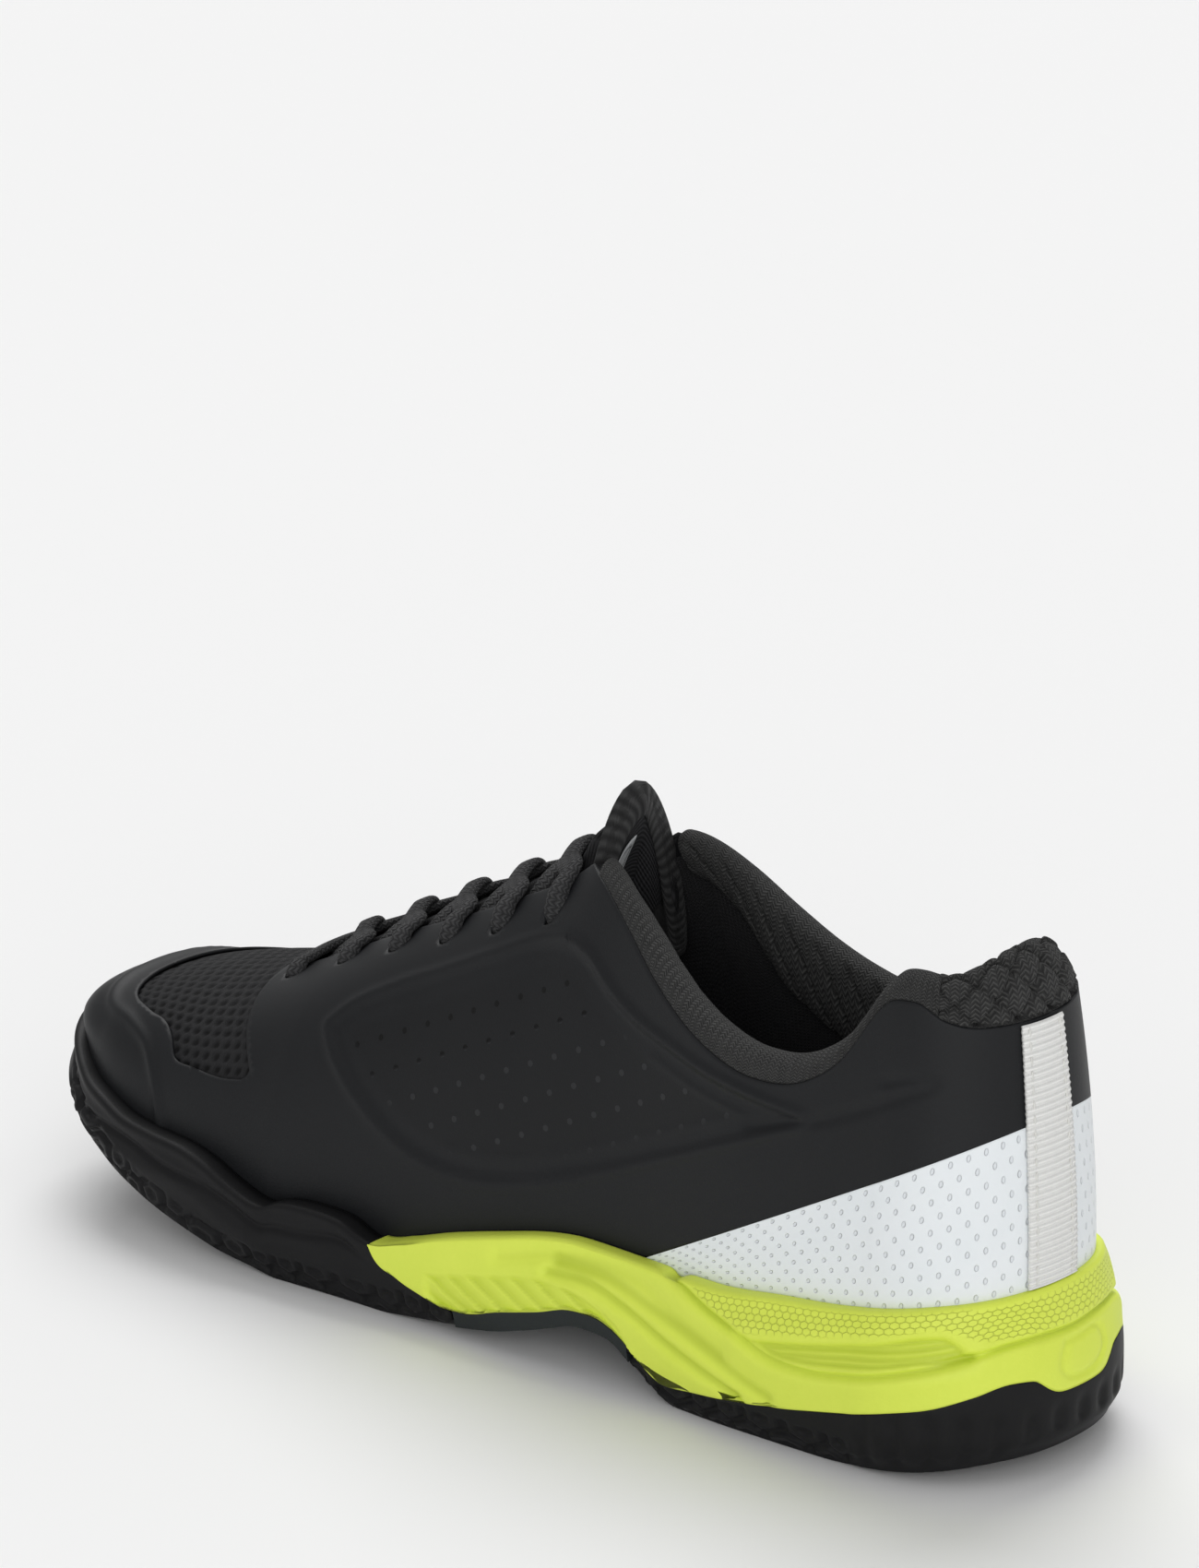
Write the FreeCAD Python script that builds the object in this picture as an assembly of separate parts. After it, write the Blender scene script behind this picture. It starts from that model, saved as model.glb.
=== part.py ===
"""Court shoe, right foot: sole unit, layered upper, padded collar, tongue, lace and sockliner.

Frame, in millimetres: +X from the heel to the toe, +Y to the medial side, +Z up. The shoe
stands on Z = 0. It is drawn with X = 0 at the back of the sole, and save() moves each piece
so that the origin lies in the middle of the footprint.

The upper is a stack of sheets. Every sheet is the same outer surface at another depth,
so each node of the upper is the space between two depths, bounded by a few seam lines.
"""
import FreeCAD, Part
import math
import os

V = FreeCAD.Vector

# ---- driving dimensions -------------------------------------------------------------
SOLE_LENGTH = 300.0          # heel back to toe tip of the sole
BALL_HALF_WIDTH = 45.5       # upper, at the widest place of the forefoot
HEEL_HALF_WIDTH = 32.0       # upper, at the heel
ANKLE_HEIGHT = 104.5         # skin at the centre back
INSTEP_HEIGHT = 114.5        # top of the instep at the uppermost eyelet
LAYER_GAP = 0.3              # clearance between two sheets of the upper
FILM_WALL = 0.9
TEXTILE_WALL = 1.0
STIFFENER_WALL = 1.3
LINING_WALL = 1.0
BOARD_WALL = 1.8             # strobel board
SOCKLINER_WALL = 4.0
SOCKLINER_SIDE_GAP = 2.0
OUTSOLE_WALL = 4.0
TAPE_WIDTH = 11.5
TAPE_WALL = 0.8
EYELET_ROWS = 6
EYELET_FIRST_X = 228.0
EYELET_PITCH = 17.4
EYELET_SETBACK = 5.0         # hole centre to the edge of the throat
EYELET_BORE = 5.6
LACE_WIDTH = 4.4
LACE_WALL = 1.6
TONGUE_WALL = 6.0
TONGUE_SKIN = 0.9            # knit of the tongue, over its padding
TONGUE_PLAY = 2.1            # under the lace
LACE_PLAY = 0.8              # under the lining
GROUND_SINK = 0.5            # the sole's curve runs this far below its flat contact faces
GROOVE_WIDTH = 2.2
GROOVE_DEPTH = 1.6

# ---- places along the shoe ----------------------------------------------------------
SX = SOLE_LENGTH / 300.0     # one lengthwise unit
HEEL_X = 36.0 * SX           # centre of the heel's fan of stations
HEEL_BACK = 6.0              # back of the upper, in front of the sole's back
BALL_X = 212.0 * SX
TOE_X = 295.0 * SX           # tip of the upper
THROAT_TOP_X = 133.0 * SX    # top corner of the throat
THROAT_END_X = 240.0 * SX    # front end of the throat
THROAT_ROUND = 12.5          # radius of its front end
FILM_FRONT_X = 236.0 * SX    # quarter film ends, vamp window starts
TOE_POWER = 2.35
HEEL_POWER = 2.15

# depths of the sheets below the outer surface
FILM = (0.0, FILM_WALL)
TEXTILE = (FILM[1] + LAYER_GAP, FILM[1] + LAYER_GAP + TEXTILE_WALL)
STIFFENER = (TEXTILE[1] + LAYER_GAP, TEXTILE[1] + LAYER_GAP + STIFFENER_WALL)
LINING = (STIFFENER[1] + 2 * LAYER_GAP, STIFFENER[1] + 2 * LAYER_GAP + LINING_WALL)
LACE_UNDER = LINING[1] + LACE_WALL / 2 + LACE_PLAY
TONGUE_DEEP = LACE_UNDER + LACE_WALL / 2 + TONGUE_PLAY
TONGUE_HIGH = 2.4
LACE_OVER = -(LACE_WALL / 2 + 0.3)


def smooth(knots, stretch=SX):
    """Monotone cubic through (x, value) knots, with x scaled to the length of the shoe."""
    xs = [k[0] * stretch for k in knots]
    ys = [k[1] for k in knots]
    n = len(xs)
    d = [(ys[i + 1] - ys[i]) / (xs[i + 1] - xs[i]) for i in range(n - 1)]
    m = [d[0]] + [0.0] * (n - 2) + [d[-1]]
    for i in range(1, n - 1):
        if d[i - 1] * d[i] > 0:
            m[i] = (d[i - 1] + d[i]) / 2
    for i in range(n - 1):
        if d[i] == 0:
            m[i] = m[i + 1] = 0.0
            continue
        size = math.hypot(m[i] / d[i], m[i + 1] / d[i])
        if size > 3:
            m[i] *= 3 / size
            m[i + 1] *= 3 / size

    def value(x):
        x = min(max(x, xs[0]), xs[-1])
        i = max(j for j in range(n - 1) if xs[j] <= x)
        h = xs[i + 1] - xs[i]
        t = (x - xs[i]) / h
        a = (2 * t ** 3 - 3 * t * t + 1) * ys[i] + (t ** 3 - 2 * t * t + t) * h * m[i]
        b = (-2 * t ** 3 + 3 * t * t) * ys[i + 1] + (t ** 3 - t * t) * h * m[i + 1]
        return a + b
    return value


# ---- rails: how the section of the upper changes from heel (0) to toe (300) ----------
bend = smooth([(0, 0), (100, -1), (150, -2.5), (210, -3.5), (250, 0.5), (280, 6), (300, 9)])
waist = smooth([(36, 1.0), (70, 0.99), (110, 0.92), (150, 0.97), (185, 0.98), (212, 1.0)])
feather_z = smooth([(0, 30), (40, 26), (100, 24), (150, 16), (175, 12.5), (200, 12), (240, 16.5),
                    (258, 21.5), (270, 26.5), (282, 32), (300, 38)])
ridge = smooth([(36, 185), (70, 178), (100, 152), (115, 137), (128, 126.5), (141, INSTEP_HEIGHT),
                (158, 104), (174, 95), (192, 86), (213, 75), (230, 66.5), (245, 61.5),
                (262, 57.5), (278, 53), (288, 48), (295, 41)])
bulge = smooth([(0, 0.13), (60, 0.08), (110, 0.03), (150, 0.0), (200, 0.04), (250, 0.10),
                (300, 0.1)])
shoulder = smooth([(0, 0.35), (110, 0.42), (150, 0.52), (200, 0.58), (250, 0.62), (280, 0.7),
                   (300, 0.7)])
crown = smooth([(0, 0.42), (40, 0.45), (75, 0.55), (110, 0.58), (133, 0.66), (150, 0.7),
                (200, 0.72), (250, 0.76), (280, 0.84), (300, 0.85)])
collar_line = smooth([(0, 0), (16, 0), (22, 1.5), (29, 5), (34, 4.5), (38, 1), (42, -5.5),
                      (46, -11.5), (54, -18), (62, -21), (70, -21.5), (81, -19.5), (92, -15),
                      (103, -8), (114, 0.5), (125, 7.5), (133, 10)])
throat_line = smooth([(0, 10), (110, 13), (133, 14.5), (150, 14.5), (190, 13.5), (240, 12.5)])
rim_line = smooth([(0, 44), (8, 43), (16, 41.8), (27, 39.7), (42, 36.9), (57, 35.2), (76, 33),
                   (98, 32.8), (115, 32.9), (125, 32), (140, 28.6), (155, 24.5), (166, 20.7),
                   (175, 18.3), (185, 21.5), (194, 22), (203, 21.3), (208.5, 19.4),
                   (213, 20.2), (220, 22.6), (227, 25.6), (234, 27.5), (246, 28.4),
                   (256, 29.2), (265, 31.3), (273, 34.1), (279, 38.5), (287, 43.5), (300, 46)])
ground_line = smooth([(0, 9.5), (5, 6.3), (11, 5), (19, 3), (32, 1), (45, -GROUND_SINK), (84, -GROUND_SINK), (90, 1),
                      (95, 5), (99.5, 10), (104.5, 13), (112, 13.5), (125, 9.5), (137.5, 5.5),
                      (151, 3), (163, 1.4), (176, -GROUND_SINK), (206, -GROUND_SINK), (213, 1.2), (225, 3),
                      (237, 7), (248, 11), (258, 14.5), (266, 18), (274, 22), (282, 27.5),
                      (292, 32), (300, 36)])
foam_line = smooth([(-6, 19.5), (-1, 20.2), (1, 24.6), (3, 24.9), (8, 22.8), (15, 20),
                    (23.5, 17.9), (38, 14.2), (54.5, 10.9), (69.4, 8.5), (79, 7.3), (88, 6.2),
                    (94.5, 10.2), (100.8, 14.6), (109, 17.2), (114.6, 17.1), (125, 14),
                    (136.6, 10.9), (148, 7.6), (152, 7.6), (159, 9.7), (166, 12.1), (175, 18.4),
                    (178, 30)])
flare = smooth([(-2, 5.0), (0, 5.0), (12, 7.5), (24, 7.0), (34, 4.5), (46, 1.8), (52, 1.6)], 1.0)


def half_width(x, depth):
    """Half width of the upper's lower edge."""
    if x <= BALL_X:
        along = min(max((x - HEEL_X) / (BALL_X - HEEL_X), 0), 1)
        plain = HEEL_HALF_WIDTH + (BALL_HALF_WIDTH - HEEL_HALF_WIDTH) * along
        return plain * waist(x) - depth
    u = min((x - BALL_X) / (TOE_X - depth - BALL_X), 1)
    return (BALL_HALF_WIDTH - depth) * math.sqrt(1 - u ** TOE_POWER)


def station(t, depth):
    """t = 0 at the centre back, 1 at the side of the heel, 2 at the ball and 3 at the toe tip."""
    if t <= 1:
        return HEEL_X, math.pi - math.pi / 2 * t
    if t <= 2:
        return HEEL_X + (BALL_X - HEEL_X) * (t - 1), math.pi / 2
    return BALL_X + (TOE_X - depth - 0.6 - BALL_X) * math.sin((t - 2) * math.pi / 2), math.pi / 2


def t_at(x):
    """Station of a place between the side of the heel and the toe."""
    if x <= BALL_X:
        return 1 + (x - HEEL_X) / (BALL_X - HEEL_X)
    return 2 + math.asin(min((x - BALL_X) / (TOE_X - 0.6 - BALL_X), 1)) * 2 / math.pi


HEEL_ARC = 1.5 * HEEL_HALF_WIDTH


def run_at(t):
    """Rough distance along the lower edge from the centre back to a station."""
    if t <= 1:
        return HEEL_ARC * t
    return HEEL_ARC + station(t, 0)[0] - HEEL_X


def even_stations(t0, t1, n):
    """Stations between two, evenly spaced along the shoe."""
    stations = []
    for run in spread(run_at(t0), run_at(t1), n):
        stations.append(run / HEEL_ARC if run <= HEEL_ARC else t_at(HEEL_X + run - HEEL_ARC))
    return stations


def foot_radius(angle, x, depth):
    """Distance from the station's axis to the lower edge."""
    if angle <= math.pi / 2 + 1e-9:
        return half_width(x, depth)
    back = HEEL_X - HEEL_BACK - depth
    side = half_width(HEEL_X, depth)
    total = abs(math.cos(angle) / back) ** HEEL_POWER + abs(math.sin(angle) / side) ** HEEL_POWER
    return total ** (-1 / HEEL_POWER)


def section(t, depth):
    """Bezier section of the upper at one station: points (distance from the axis, height)."""
    x, angle = station(t, depth)
    w = foot_radius(angle, x, depth)
    xf = x + w * math.cos(angle)
    low = feather_z(xf)
    top = ridge(x) - depth
    wide = (w + depth) * (1 + bulge(xf)) - depth
    points = [(w, low), (wide, low + shoulder(xf) * (top - low)), (crown(xf) * w, top), (0, top)]
    return x, angle, points


def bezier(points, v):
    q = 1 - v
    c = (q ** 3, 3 * q * q * v, 3 * q * v * v, v ** 3)
    return sum(c[i] * points[i][0] for i in range(4)), sum(c[i] * points[i][1] for i in range(4))


def throat_half(x):
    """Half width of the throat opening."""
    if x >= THROAT_END_X:
        return 0.0
    half = throat_line(x)
    into = THROAT_END_X - x
    if into < THROAT_ROUND:
        half = min(half, math.sqrt(THROAT_ROUND ** 2 - (THROAT_ROUND - into) ** 2))
    return half


def edge(t, depth):
    """Bezier value where the collar or the throat cuts the section off."""
    x, angle, points = section(t, depth)
    if x >= THROAT_END_X:
        return 1.0
    low, high = 0.0, 1.0
    for _ in range(40):
        mid = (low + high) / 2
        r, z = bezier(points, mid)
        here = x + r * math.cos(angle)
        if z < ANKLE_HEIGHT + collar_line(here) and r > throat_half(here):
            low = mid
        else:
            high = mid
    return low


def place(t, v, side, depth):
    """Point of the upper at a depth: v = 0 at the lower edge, 1 on the ridge."""
    x, angle, points = section(t, depth)
    r, z = bezier(points, v)
    px = x + r * math.cos(angle)
    return V(px, r * math.sin(angle) * side + bend(px), z)


def place_at(x, r, depth):
    """Point of the upper at x, a signed distance r from the ridge and a depth."""
    t = t_at(x)
    _, _, points = section(t, depth)
    low, high = 0.0, 1.0
    for _ in range(40):
        mid = (low + high) / 2
        if bezier(points, mid)[0] > abs(r):
            low = mid
        else:
            high = mid
    return place(t, low, 1 if r >= 0 else -1, depth)


# ---- solids from grids ----------------------------------------------------------------
def spread(a, b, n):
    return [a + (b - a) * i / (n - 1) for i in range(n)]


def grid_solid(outer, inner):
    """Solid between two grids of points with the same number of rows and columns."""
    skins = []
    for grid in (outer, inner):
        surface = Part.BSplineSurface()
        surface.interpolate(grid)
        skins.append(surface)
    faces = [s.toShape() for s in skins]
    ends = []
    for surface in skins:
        u0, u1, v0, v1 = surface.bounds()
        ends.append([surface.uIso(u0), surface.uIso(u1), surface.vIso(v0), surface.vIso(v1)])
    for a, b in zip(*ends):
        faces.append(Part.makeRuledSurface(a.toShape(), b.toShape(), 1))
    shell = Part.Shell(faces)
    shell.sewShape()
    solid = Part.Solid(shell)
    if solid.Volume < 0:
        solid.reverse()
    return solid


def half_sheet(side, depths, t0, t1, low=0.0, high=1.0, rows=80, columns=13):
    """Sheet of one side, from station t0 to t1 and from share low to high of its height."""
    grids = []
    for depth in depths:
        grid = []
        for t in even_stations(t0, t1, rows):
            top = edge(t, depth)
            grid.append([place(t, top * u, side, depth) for u in spread(low, high, columns)])
        grids.append(grid)
    return grid_solid(*grids)


def arch_sheet(depths, x0, x1, rows=22, columns=25):
    """Sheet over the forefoot, from one lower edge across the ridge to the other."""
    grids = []
    for depth in depths:
        grid = []
        last = min(x1, TOE_X - depth - 0.6)
        turn0 = math.asin(max((x0 - BALL_X) / (TOE_X - depth - 0.6 - BALL_X), 0))
        turn1 = math.asin(min((last - BALL_X) / (TOE_X - depth - 0.6 - BALL_X), 1))
        for turn in spread(turn0, turn1, rows):
            t = 2 + turn * 2 / math.pi
            row = []
            for s in spread(-1, 1, columns):
                side = 1 if s >= 0 else -1
                row.append(place(t, 1 - abs(s), side, depth))
            grid.append(row)
        grids.append(grid)
    return grid_solid(*grids)


def plan_wire(extra, z, toe_extra=None):
    """Closed outline of the upper's lower edge in plan, grown by extra, at height z."""
    points = []
    for k in range(-40, 40):
        t = 3 * k / 40
        side = 1 if k >= 0 else -1
        x, angle = station(abs(t), 0)
        w = foot_radius(angle, x, 0)
        near = 1 - max(abs(t) - 2, 0) ** 4
        grow = extra * near if toe_extra is not None else extra
        r = w + grow
        px = x + r * math.cos(angle)
        if abs(t) > 2:
            forward = toe_extra if toe_extra is not None else extra
            px += (abs(t) - 2) ** 3 * forward
        points.append(V(px, r * math.sin(angle) * side + bend(min(px, SOLE_LENGTH)), z))
    points.pop(0)
    curve = Part.BSplineCurve()
    curve.interpolate(points, PeriodicFlag=True)
    return Part.Wire(curve.toShape())


def side_region(low, high, x0, x1, count=60):
    """Slab between two lines of the side view, through the whole width."""
    lower = [V(x, -90, low(x)) for x in spread(x0, x1, count)]
    upper = [V(x, -90, high(x)) for x in spread(x0, x1, count)]
    edges = []
    for row in (lower, upper):
        curve = Part.BSplineCurve()
        curve.interpolate(row)
        edges.append(curve.toShape())
    edges.append(Part.makeLine(lower[0], upper[0]))
    edges.append(Part.makeLine(lower[-1], upper[-1]))
    face = Part.Face(Part.Wire(Part.__sortEdges__(edges)))
    return face.extrude(V(0, 180, 0))


def save(name, shape):
    """Write one node, moved so that the origin is the middle of the footprint."""
    shape = shape.copy()
    shape.translate(V(-SOLE_LENGTH / 2, -bend(BALL_X), 0))
    shape.exportStep("parts/" + name + ".step")
    print(name, "solids", len(shape.Solids), "volume", round(shape.Volume), shape.isValid())


os.makedirs("parts", exist_ok=True)

# ---- sole ---------------------------------------------------------------------------
FAR = SOLE_LENGTH + 12
HEEL_SOLE_END = 98.0 * SX
SHANK_END = 150.0 * SX
CUP_WALL = 1.0               # recess outline beyond the upper's lower edge
CORE_INSET = 2.0             # foam core of the heel, outside the upper's lower edge
PANEL_TOP = 86.0             # heel panel's upper line at x = 0
PANEL_SLOPE = 0.543


def lift(line, amount):
    return lambda x: line(x) + amount


def level(value):
    return lambda x: value


def ground_face(x):
    """Underside of the sole, flat where it touches the ground."""
    return max(ground_line(x), 0.0)


def plan_prism(extra, toe_extra):
    """Upright prism over the plan outline."""
    return Part.Face(plan_wire(extra, -5, toe_extra)).extrude(V(0, 0, 120))


def slab(x0, x1):
    return Part.makeBox(x1 - x0, 240, 240, V(x0, -120, -60))


wires = [plan_wire(flare(z), z, SOLE_LENGTH - TOE_X) for z in (-2, 6, 12, 24, 34, 46, 52)]
block = Part.makeLoft(wires, True, False).common(side_region(ground_line, rim_line, -12, FAR))
floor_line = lift(feather_z, -BOARD_WALL - 2 * LAYER_GAP)
cup = plan_prism(CUP_WALL, CUP_WALL).common(side_region(floor_line, level(90), -12, FAR))
block = block.cut(cup).cut(Part.makeBox(SOLE_LENGTH + 40, 240, 40, V(-20, -120, -40)))

core = plan_prism(CORE_INSET, 0).common(
    side_region(lift(ground_face, OUTSOLE_WALL), level(60), -12, SHANK_END))
under_foam = side_region(level(-8), foam_line, -12, 178 * SX).cut(core)
save("midsole_foam", block.cut(under_foam).common(slab(-12, 178 * SX)))

grooves = []
for x in [26 + 11 * k for k in range(6)] + [160 + 10 * k for k in range(11)]:
    grooves.append(Part.makeBox(GROOVE_WIDTH, 240, 90, V(x * SX, -120, -20)))
tread = Part.makeCompound(grooves).common(
    side_region(level(-10), lift(ground_face, GROOVE_DEPTH), -12, FAR))

rubber = block.common(under_foam)
save("heel_outsole", rubber.common(slab(-12, HEEL_SOLE_END)).cut(tread))
save("arch_shank", rubber.common(slab(HEEL_SOLE_END + LAYER_GAP, SHANK_END)))

front = block.cut(side_region(foam_line, level(80), -12, 178 * SX))
front = front.common(slab(SHANK_END + LAYER_GAP, FAR))
tread_layer = side_region(level(-8), lift(ground_face, OUTSOLE_WALL), -12, FAR)
save("forefoot_outsole", front.common(tread_layer).cut(tread))
save("forefoot_sidewall", front.cut(tread_layer))

board = side_region(lift(feather_z, -BOARD_WALL - LAYER_GAP), lift(feather_z, -LAYER_GAP), -12, FAR)
save("strobel_board", plan_prism(CUP_WALL / 2, CUP_WALL / 2).common(board))
inside = LINING[1] + SOCKLINER_SIDE_GAP
pad = side_region(lift(feather_z, LAYER_GAP), lift(feather_z, LAYER_GAP + SOCKLINER_WALL), -12, FAR)
save("sockliner", plan_prism(-inside, -inside).common(pad))

# ---- upper --------------------------------------------------------------------------
BACK_T = 0.008               # half of the butt joint at the centre back
COUNTER_T = 1.2              # the heel counter's two wings end here
TAB_T = 0.7                  # the heel tab's two ends
COUNTER_TOP = 0.70           # share of the sheet's height
INNER_TOP = 0.775            # sheets behind the collar roll stop here
EYESTAY_LOW = 0.82
PUFF_X = 262.0 * SX
TAPE_TOP = 0.99
WINDOW = [(222, 45.5), (251, 44.5), (262, 49), (282, 57), (282, 90), (243, 90), (240, 70)]


def inner_top(t):
    """Share of the height that the inner sheets reach: low at the collar, full at the throat."""
    x = station(t, 0)[0] / SX
    u = min(max((x - 112) / 22, 0), 1)
    return INNER_TOP + (1 - INNER_TOP) * u * u * (3 - 2 * u)


def inner_sheet(side, depths, t0, t1, rows=80, columns=13, cap=1.0):
    """Half sheet that stops short of the collar roll."""
    grids = []
    for depth in depths:
        grid = []
        for t in even_stations(t0, t1, rows):
            top = edge(t, depth) * min(inner_top(t), cap)
            grid.append([place(t, top * u, side, depth) for u in spread(0, 1, columns)])
        grids.append(grid)
    return grid_solid(*grids)


def share_at(height):
    """Share of the centre back's height at which the skin reaches a height."""
    top = edge(0, 0)
    low, high = 0.0, 1.0
    for _ in range(40):
        mid = (low + high) / 2
        if place(0, top * mid, 1, 0).z < height:
            low = mid
        else:
            high = mid
    return low


def heel_sheet(depths, t_end, low, high, half_rows=36, columns=9):
    """Sheet round the heel, from one side to the other."""
    wing = even_stations(0, t_end, half_rows)
    grids = []
    for depth in depths:
        grid = []
        for s in [-t for t in reversed(wing[1:])] + wing:
            top = edge(abs(s), depth)
            side = 1 if s >= 0 else -1
            grid.append([place(abs(s), top * u, side, depth) for u in spread(low, high, columns)])
        grids.append(grid)
    return grid_solid(*grids)


def side_prism(outline):
    """Prism across the whole width over a polygon of the side view."""
    points = [V(x * SX, -120, z) for x, z in outline]
    points.append(points[0])
    return Part.Face(Part.makePolygon(points)).extrude(V(0, 240, 0))


def throat_prism():
    """Prism over the throat opening in plan, from the ball to its front end."""
    xs = [THROAT_END_X - THROAT_ROUND * (1 - math.cos(a)) for a in spread(0, math.pi / 2, 9)]
    xs.append(BALL_X - 12)
    near = [V(x, throat_half(x) + bend(x), 20) for x in xs]
    far = [V(x, -throat_half(x) + bend(x), 20) for x in reversed(xs)]
    return Part.Face(Part.makePolygon(near + far[:-1] + [near[0]])).extrude(V(0, 0, 90))


def eyelet_places(side):
    """Eyelet centres: (x, signed distance from the ridge)."""
    places = []
    for row in range(EYELET_ROWS):
        x = (EYELET_FIRST_X - EYELET_PITCH * row) * SX
        places.append((x, side * (throat_half(x) + EYELET_SETBACK)))
    return places


def eyelet_bores(side):
    bores = []
    for x, r in eyelet_places(side):
        top = place_at(x, r, -3)
        axis = place_at(x, r, 8) - top
        bores.append(Part.makeCylinder(EYELET_BORE / 2, axis.Length, top, axis))
    return Part.makeCompound(bores)


window = side_prism(WINDOW)
throat = throat_prism()
panel_low = side_prism([(-30, 0), (-30, PANEL_TOP + 30 * PANEL_SLOPE),
                        (130, PANEL_TOP - 130 * PANEL_SLOPE), (130, 0)])
seam = side_prism([(-30, 0), (-30, PANEL_TOP + 30 * PANEL_SLOPE + LAYER_GAP),
                   (130, PANEL_TOP - 130 * PANEL_SLOPE + LAYER_GAP), (130, 0)])

for name, side in (("medial", 1), ("lateral", -1)):
    bores = eyelet_bores(side)
    film = half_sheet(side, FILM, BACK_T, t_at(FILM_FRONT_X))
    save("heel_panel_" + name, film.common(panel_low))
    save("quarter_film_" + name, film.cut(seam).cut(window).cut(bores))
    textile = inner_sheet(side, TEXTILE, BACK_T, t_at(BALL_X))
    save("quarter_textile_" + name, textile.cut(bores))
    pad_sheet = inner_sheet(side, STIFFENER, COUNTER_T + 0.02, t_at(BALL_X), cap=INNER_TOP)
    save("quarter_foam_" + name, pad_sheet)
    stay = half_sheet(side, STIFFENER, t_at(THROAT_TOP_X + 1), t_at(FILM_FRONT_X), EYESTAY_LOW)
    save("eyestay_" + name, stay.cut(bores))
    lining = inner_sheet(side, LINING, BACK_T, t_at(BALL_X))
    save("quarter_lining_" + name, lining.cut(bores))

both_bores = Part.makeCompound([eyelet_bores(1), eyelet_bores(-1)])
toe_wrap = arch_sheet(FILM, FILM_FRONT_X + LAYER_GAP, TOE_X).cut(window)
save("toe_wrap", toe_wrap)
save("vamp_mesh", arch_sheet(TEXTILE, BALL_X + LAYER_GAP, TOE_X).cut(throat).cut(both_bores))
save("vamp_lining", arch_sheet(LINING, BALL_X + LAYER_GAP, TOE_X).cut(throat).cut(both_bores))
save("toe_puff", arch_sheet(STIFFENER, PUFF_X, TOE_X))
save("heel_counter", heel_sheet(STIFFENER, COUNTER_T, 0, COUNTER_TOP))
tape_low = share_at(rim_line(HEEL_BACK) + LAYER_GAP)
save("heel_tape", heel_sheet((-LAYER_GAP - TAPE_WALL, -LAYER_GAP), TAPE_WIDTH / 2 / HEEL_ARC,
                             tape_low, TAPE_TOP, 5))


# ---- collar -------------------------------------------------------------------------
COLLAR_END_X = 131.0 * SX
COLLAR_PAD_END_X = 103.0 * SX    # the padding stops where the roll starts to thin
COVER_WALL = 0.9
# section of the roll: depth inward from the skin, height above the skin's edge
COVER_PATH = [(0.3, 0.4), (0.5, 3.5), (2.1, 7.5), (4.8, 9.6), (7.7, 7.8), (9.1, 2.5), (9.3, -4),
              (8.9, -9), (8.1, -13), (7.1, -17)]
PAD_PATH = [(1.7, -5), (1.7, -2), (1.7, 0.8), (2.3, 3.6), (3.3, 6.0), (4.8, 7.2), (6.4, 6.0),
            (7.5, 2.8), (7.8, -1), (7.7, -5), (7.3, -9), (6.7, -12), (6.2, -13.5)]
PAD_FOOT = ((2.1, -5.3), (5.7, -13.0))
roll_rise = smooth([(0, 14.5), (25, 14), (42, 9.5), (60, 6.5), (110, 6), (132, 5)])
roll_depth = smooth([(0, 1), (104, 1), (119, 0.76), (132, 0.66)])
roll_drop = smooth([(0, 1), (104, 1), (120, 0.5), (132, 0.4)])


def roll_frame(s):
    """Seat of the collar roll at signed station s, its two directions and its height shares."""
    t = abs(s)
    side = 1 if s >= 0 else -1
    angle = station(t, 0)[1]
    v = edge(t, 0)
    seat = place(t, v, side, 0)
    up = seat - place(t, v - 0.06, side, 0)
    up.normalize()
    inward = V(-math.cos(angle), -math.sin(angle) * side, 0)
    inward = inward - up * inward.dot(up)
    inward.normalize()
    shares = (roll_rise(seat.x) / COVER_PATH[3][1], roll_drop(seat.x))
    return seat, inward * roll_depth(seat.x), up, shares


def roll_points(s, path):
    seat, inward, up, (rise, drop) = roll_frame(s)
    return [seat + inward * d + up * (h * (rise if h > 0 else drop)) for d, h in path]


def inset_path(path, wall):
    """Open path moved by wall to its right-hand side."""
    moved = []
    for i, (d, h) in enumerate(path):
        a = path[max(i - 1, 0)]
        b = path[min(i + 1, len(path) - 1)]
        size = math.hypot(b[0] - a[0], b[1] - a[1])
        moved.append((d + (b[1] - a[1]) / size * wall, h - (b[0] - a[0]) / size * wall))
    return moved


def roll_stations(side, end_x):
    """Stations along one wing of the collar, close together where the edge is steep."""
    fan = spread(TAB_T + 0.01, 0.98, 7)
    straight = [t_at(x) for x in spread(HEEL_X + 1, end_x, 26)]
    return [side * t for t in fan + straight]


def cover(stations):
    outer = [roll_points(s, COVER_PATH) for s in stations]
    inner = [roll_points(s, inset_path(COVER_PATH, COVER_WALL)) for s in stations]
    return grid_solid(outer, inner)


def roll_pad(stations):
    count = len(PAD_PATH)
    foot = list(zip(*[spread(a, b, count) for a, b in zip(*PAD_FOOT)]))
    outside = [roll_points(s, PAD_PATH) for s in stations]
    inside = [roll_points(s, foot) for s in stations]
    return grid_solid(outside, inside)


tab = spread(-TAB_T, TAB_T, 25)
save("heel_tab", cover(tab))
save("heel_tab_pad", roll_pad(tab))
for name, side in (("medial", 1), ("lateral", -1)):
    save("collar_cover_" + name, cover(roll_stations(side, COLLAR_END_X)))
    save("collar_pad_" + name, roll_pad(roll_stations(side, COLLAR_PAD_END_X)))


# ---- tongue -------------------------------------------------------------------------
TONGUE_TOP_X = 118.0 * SX
TONGUE_BASE_X = 246.0 * SX
BINDING_WIDTH = 2.4
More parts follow.
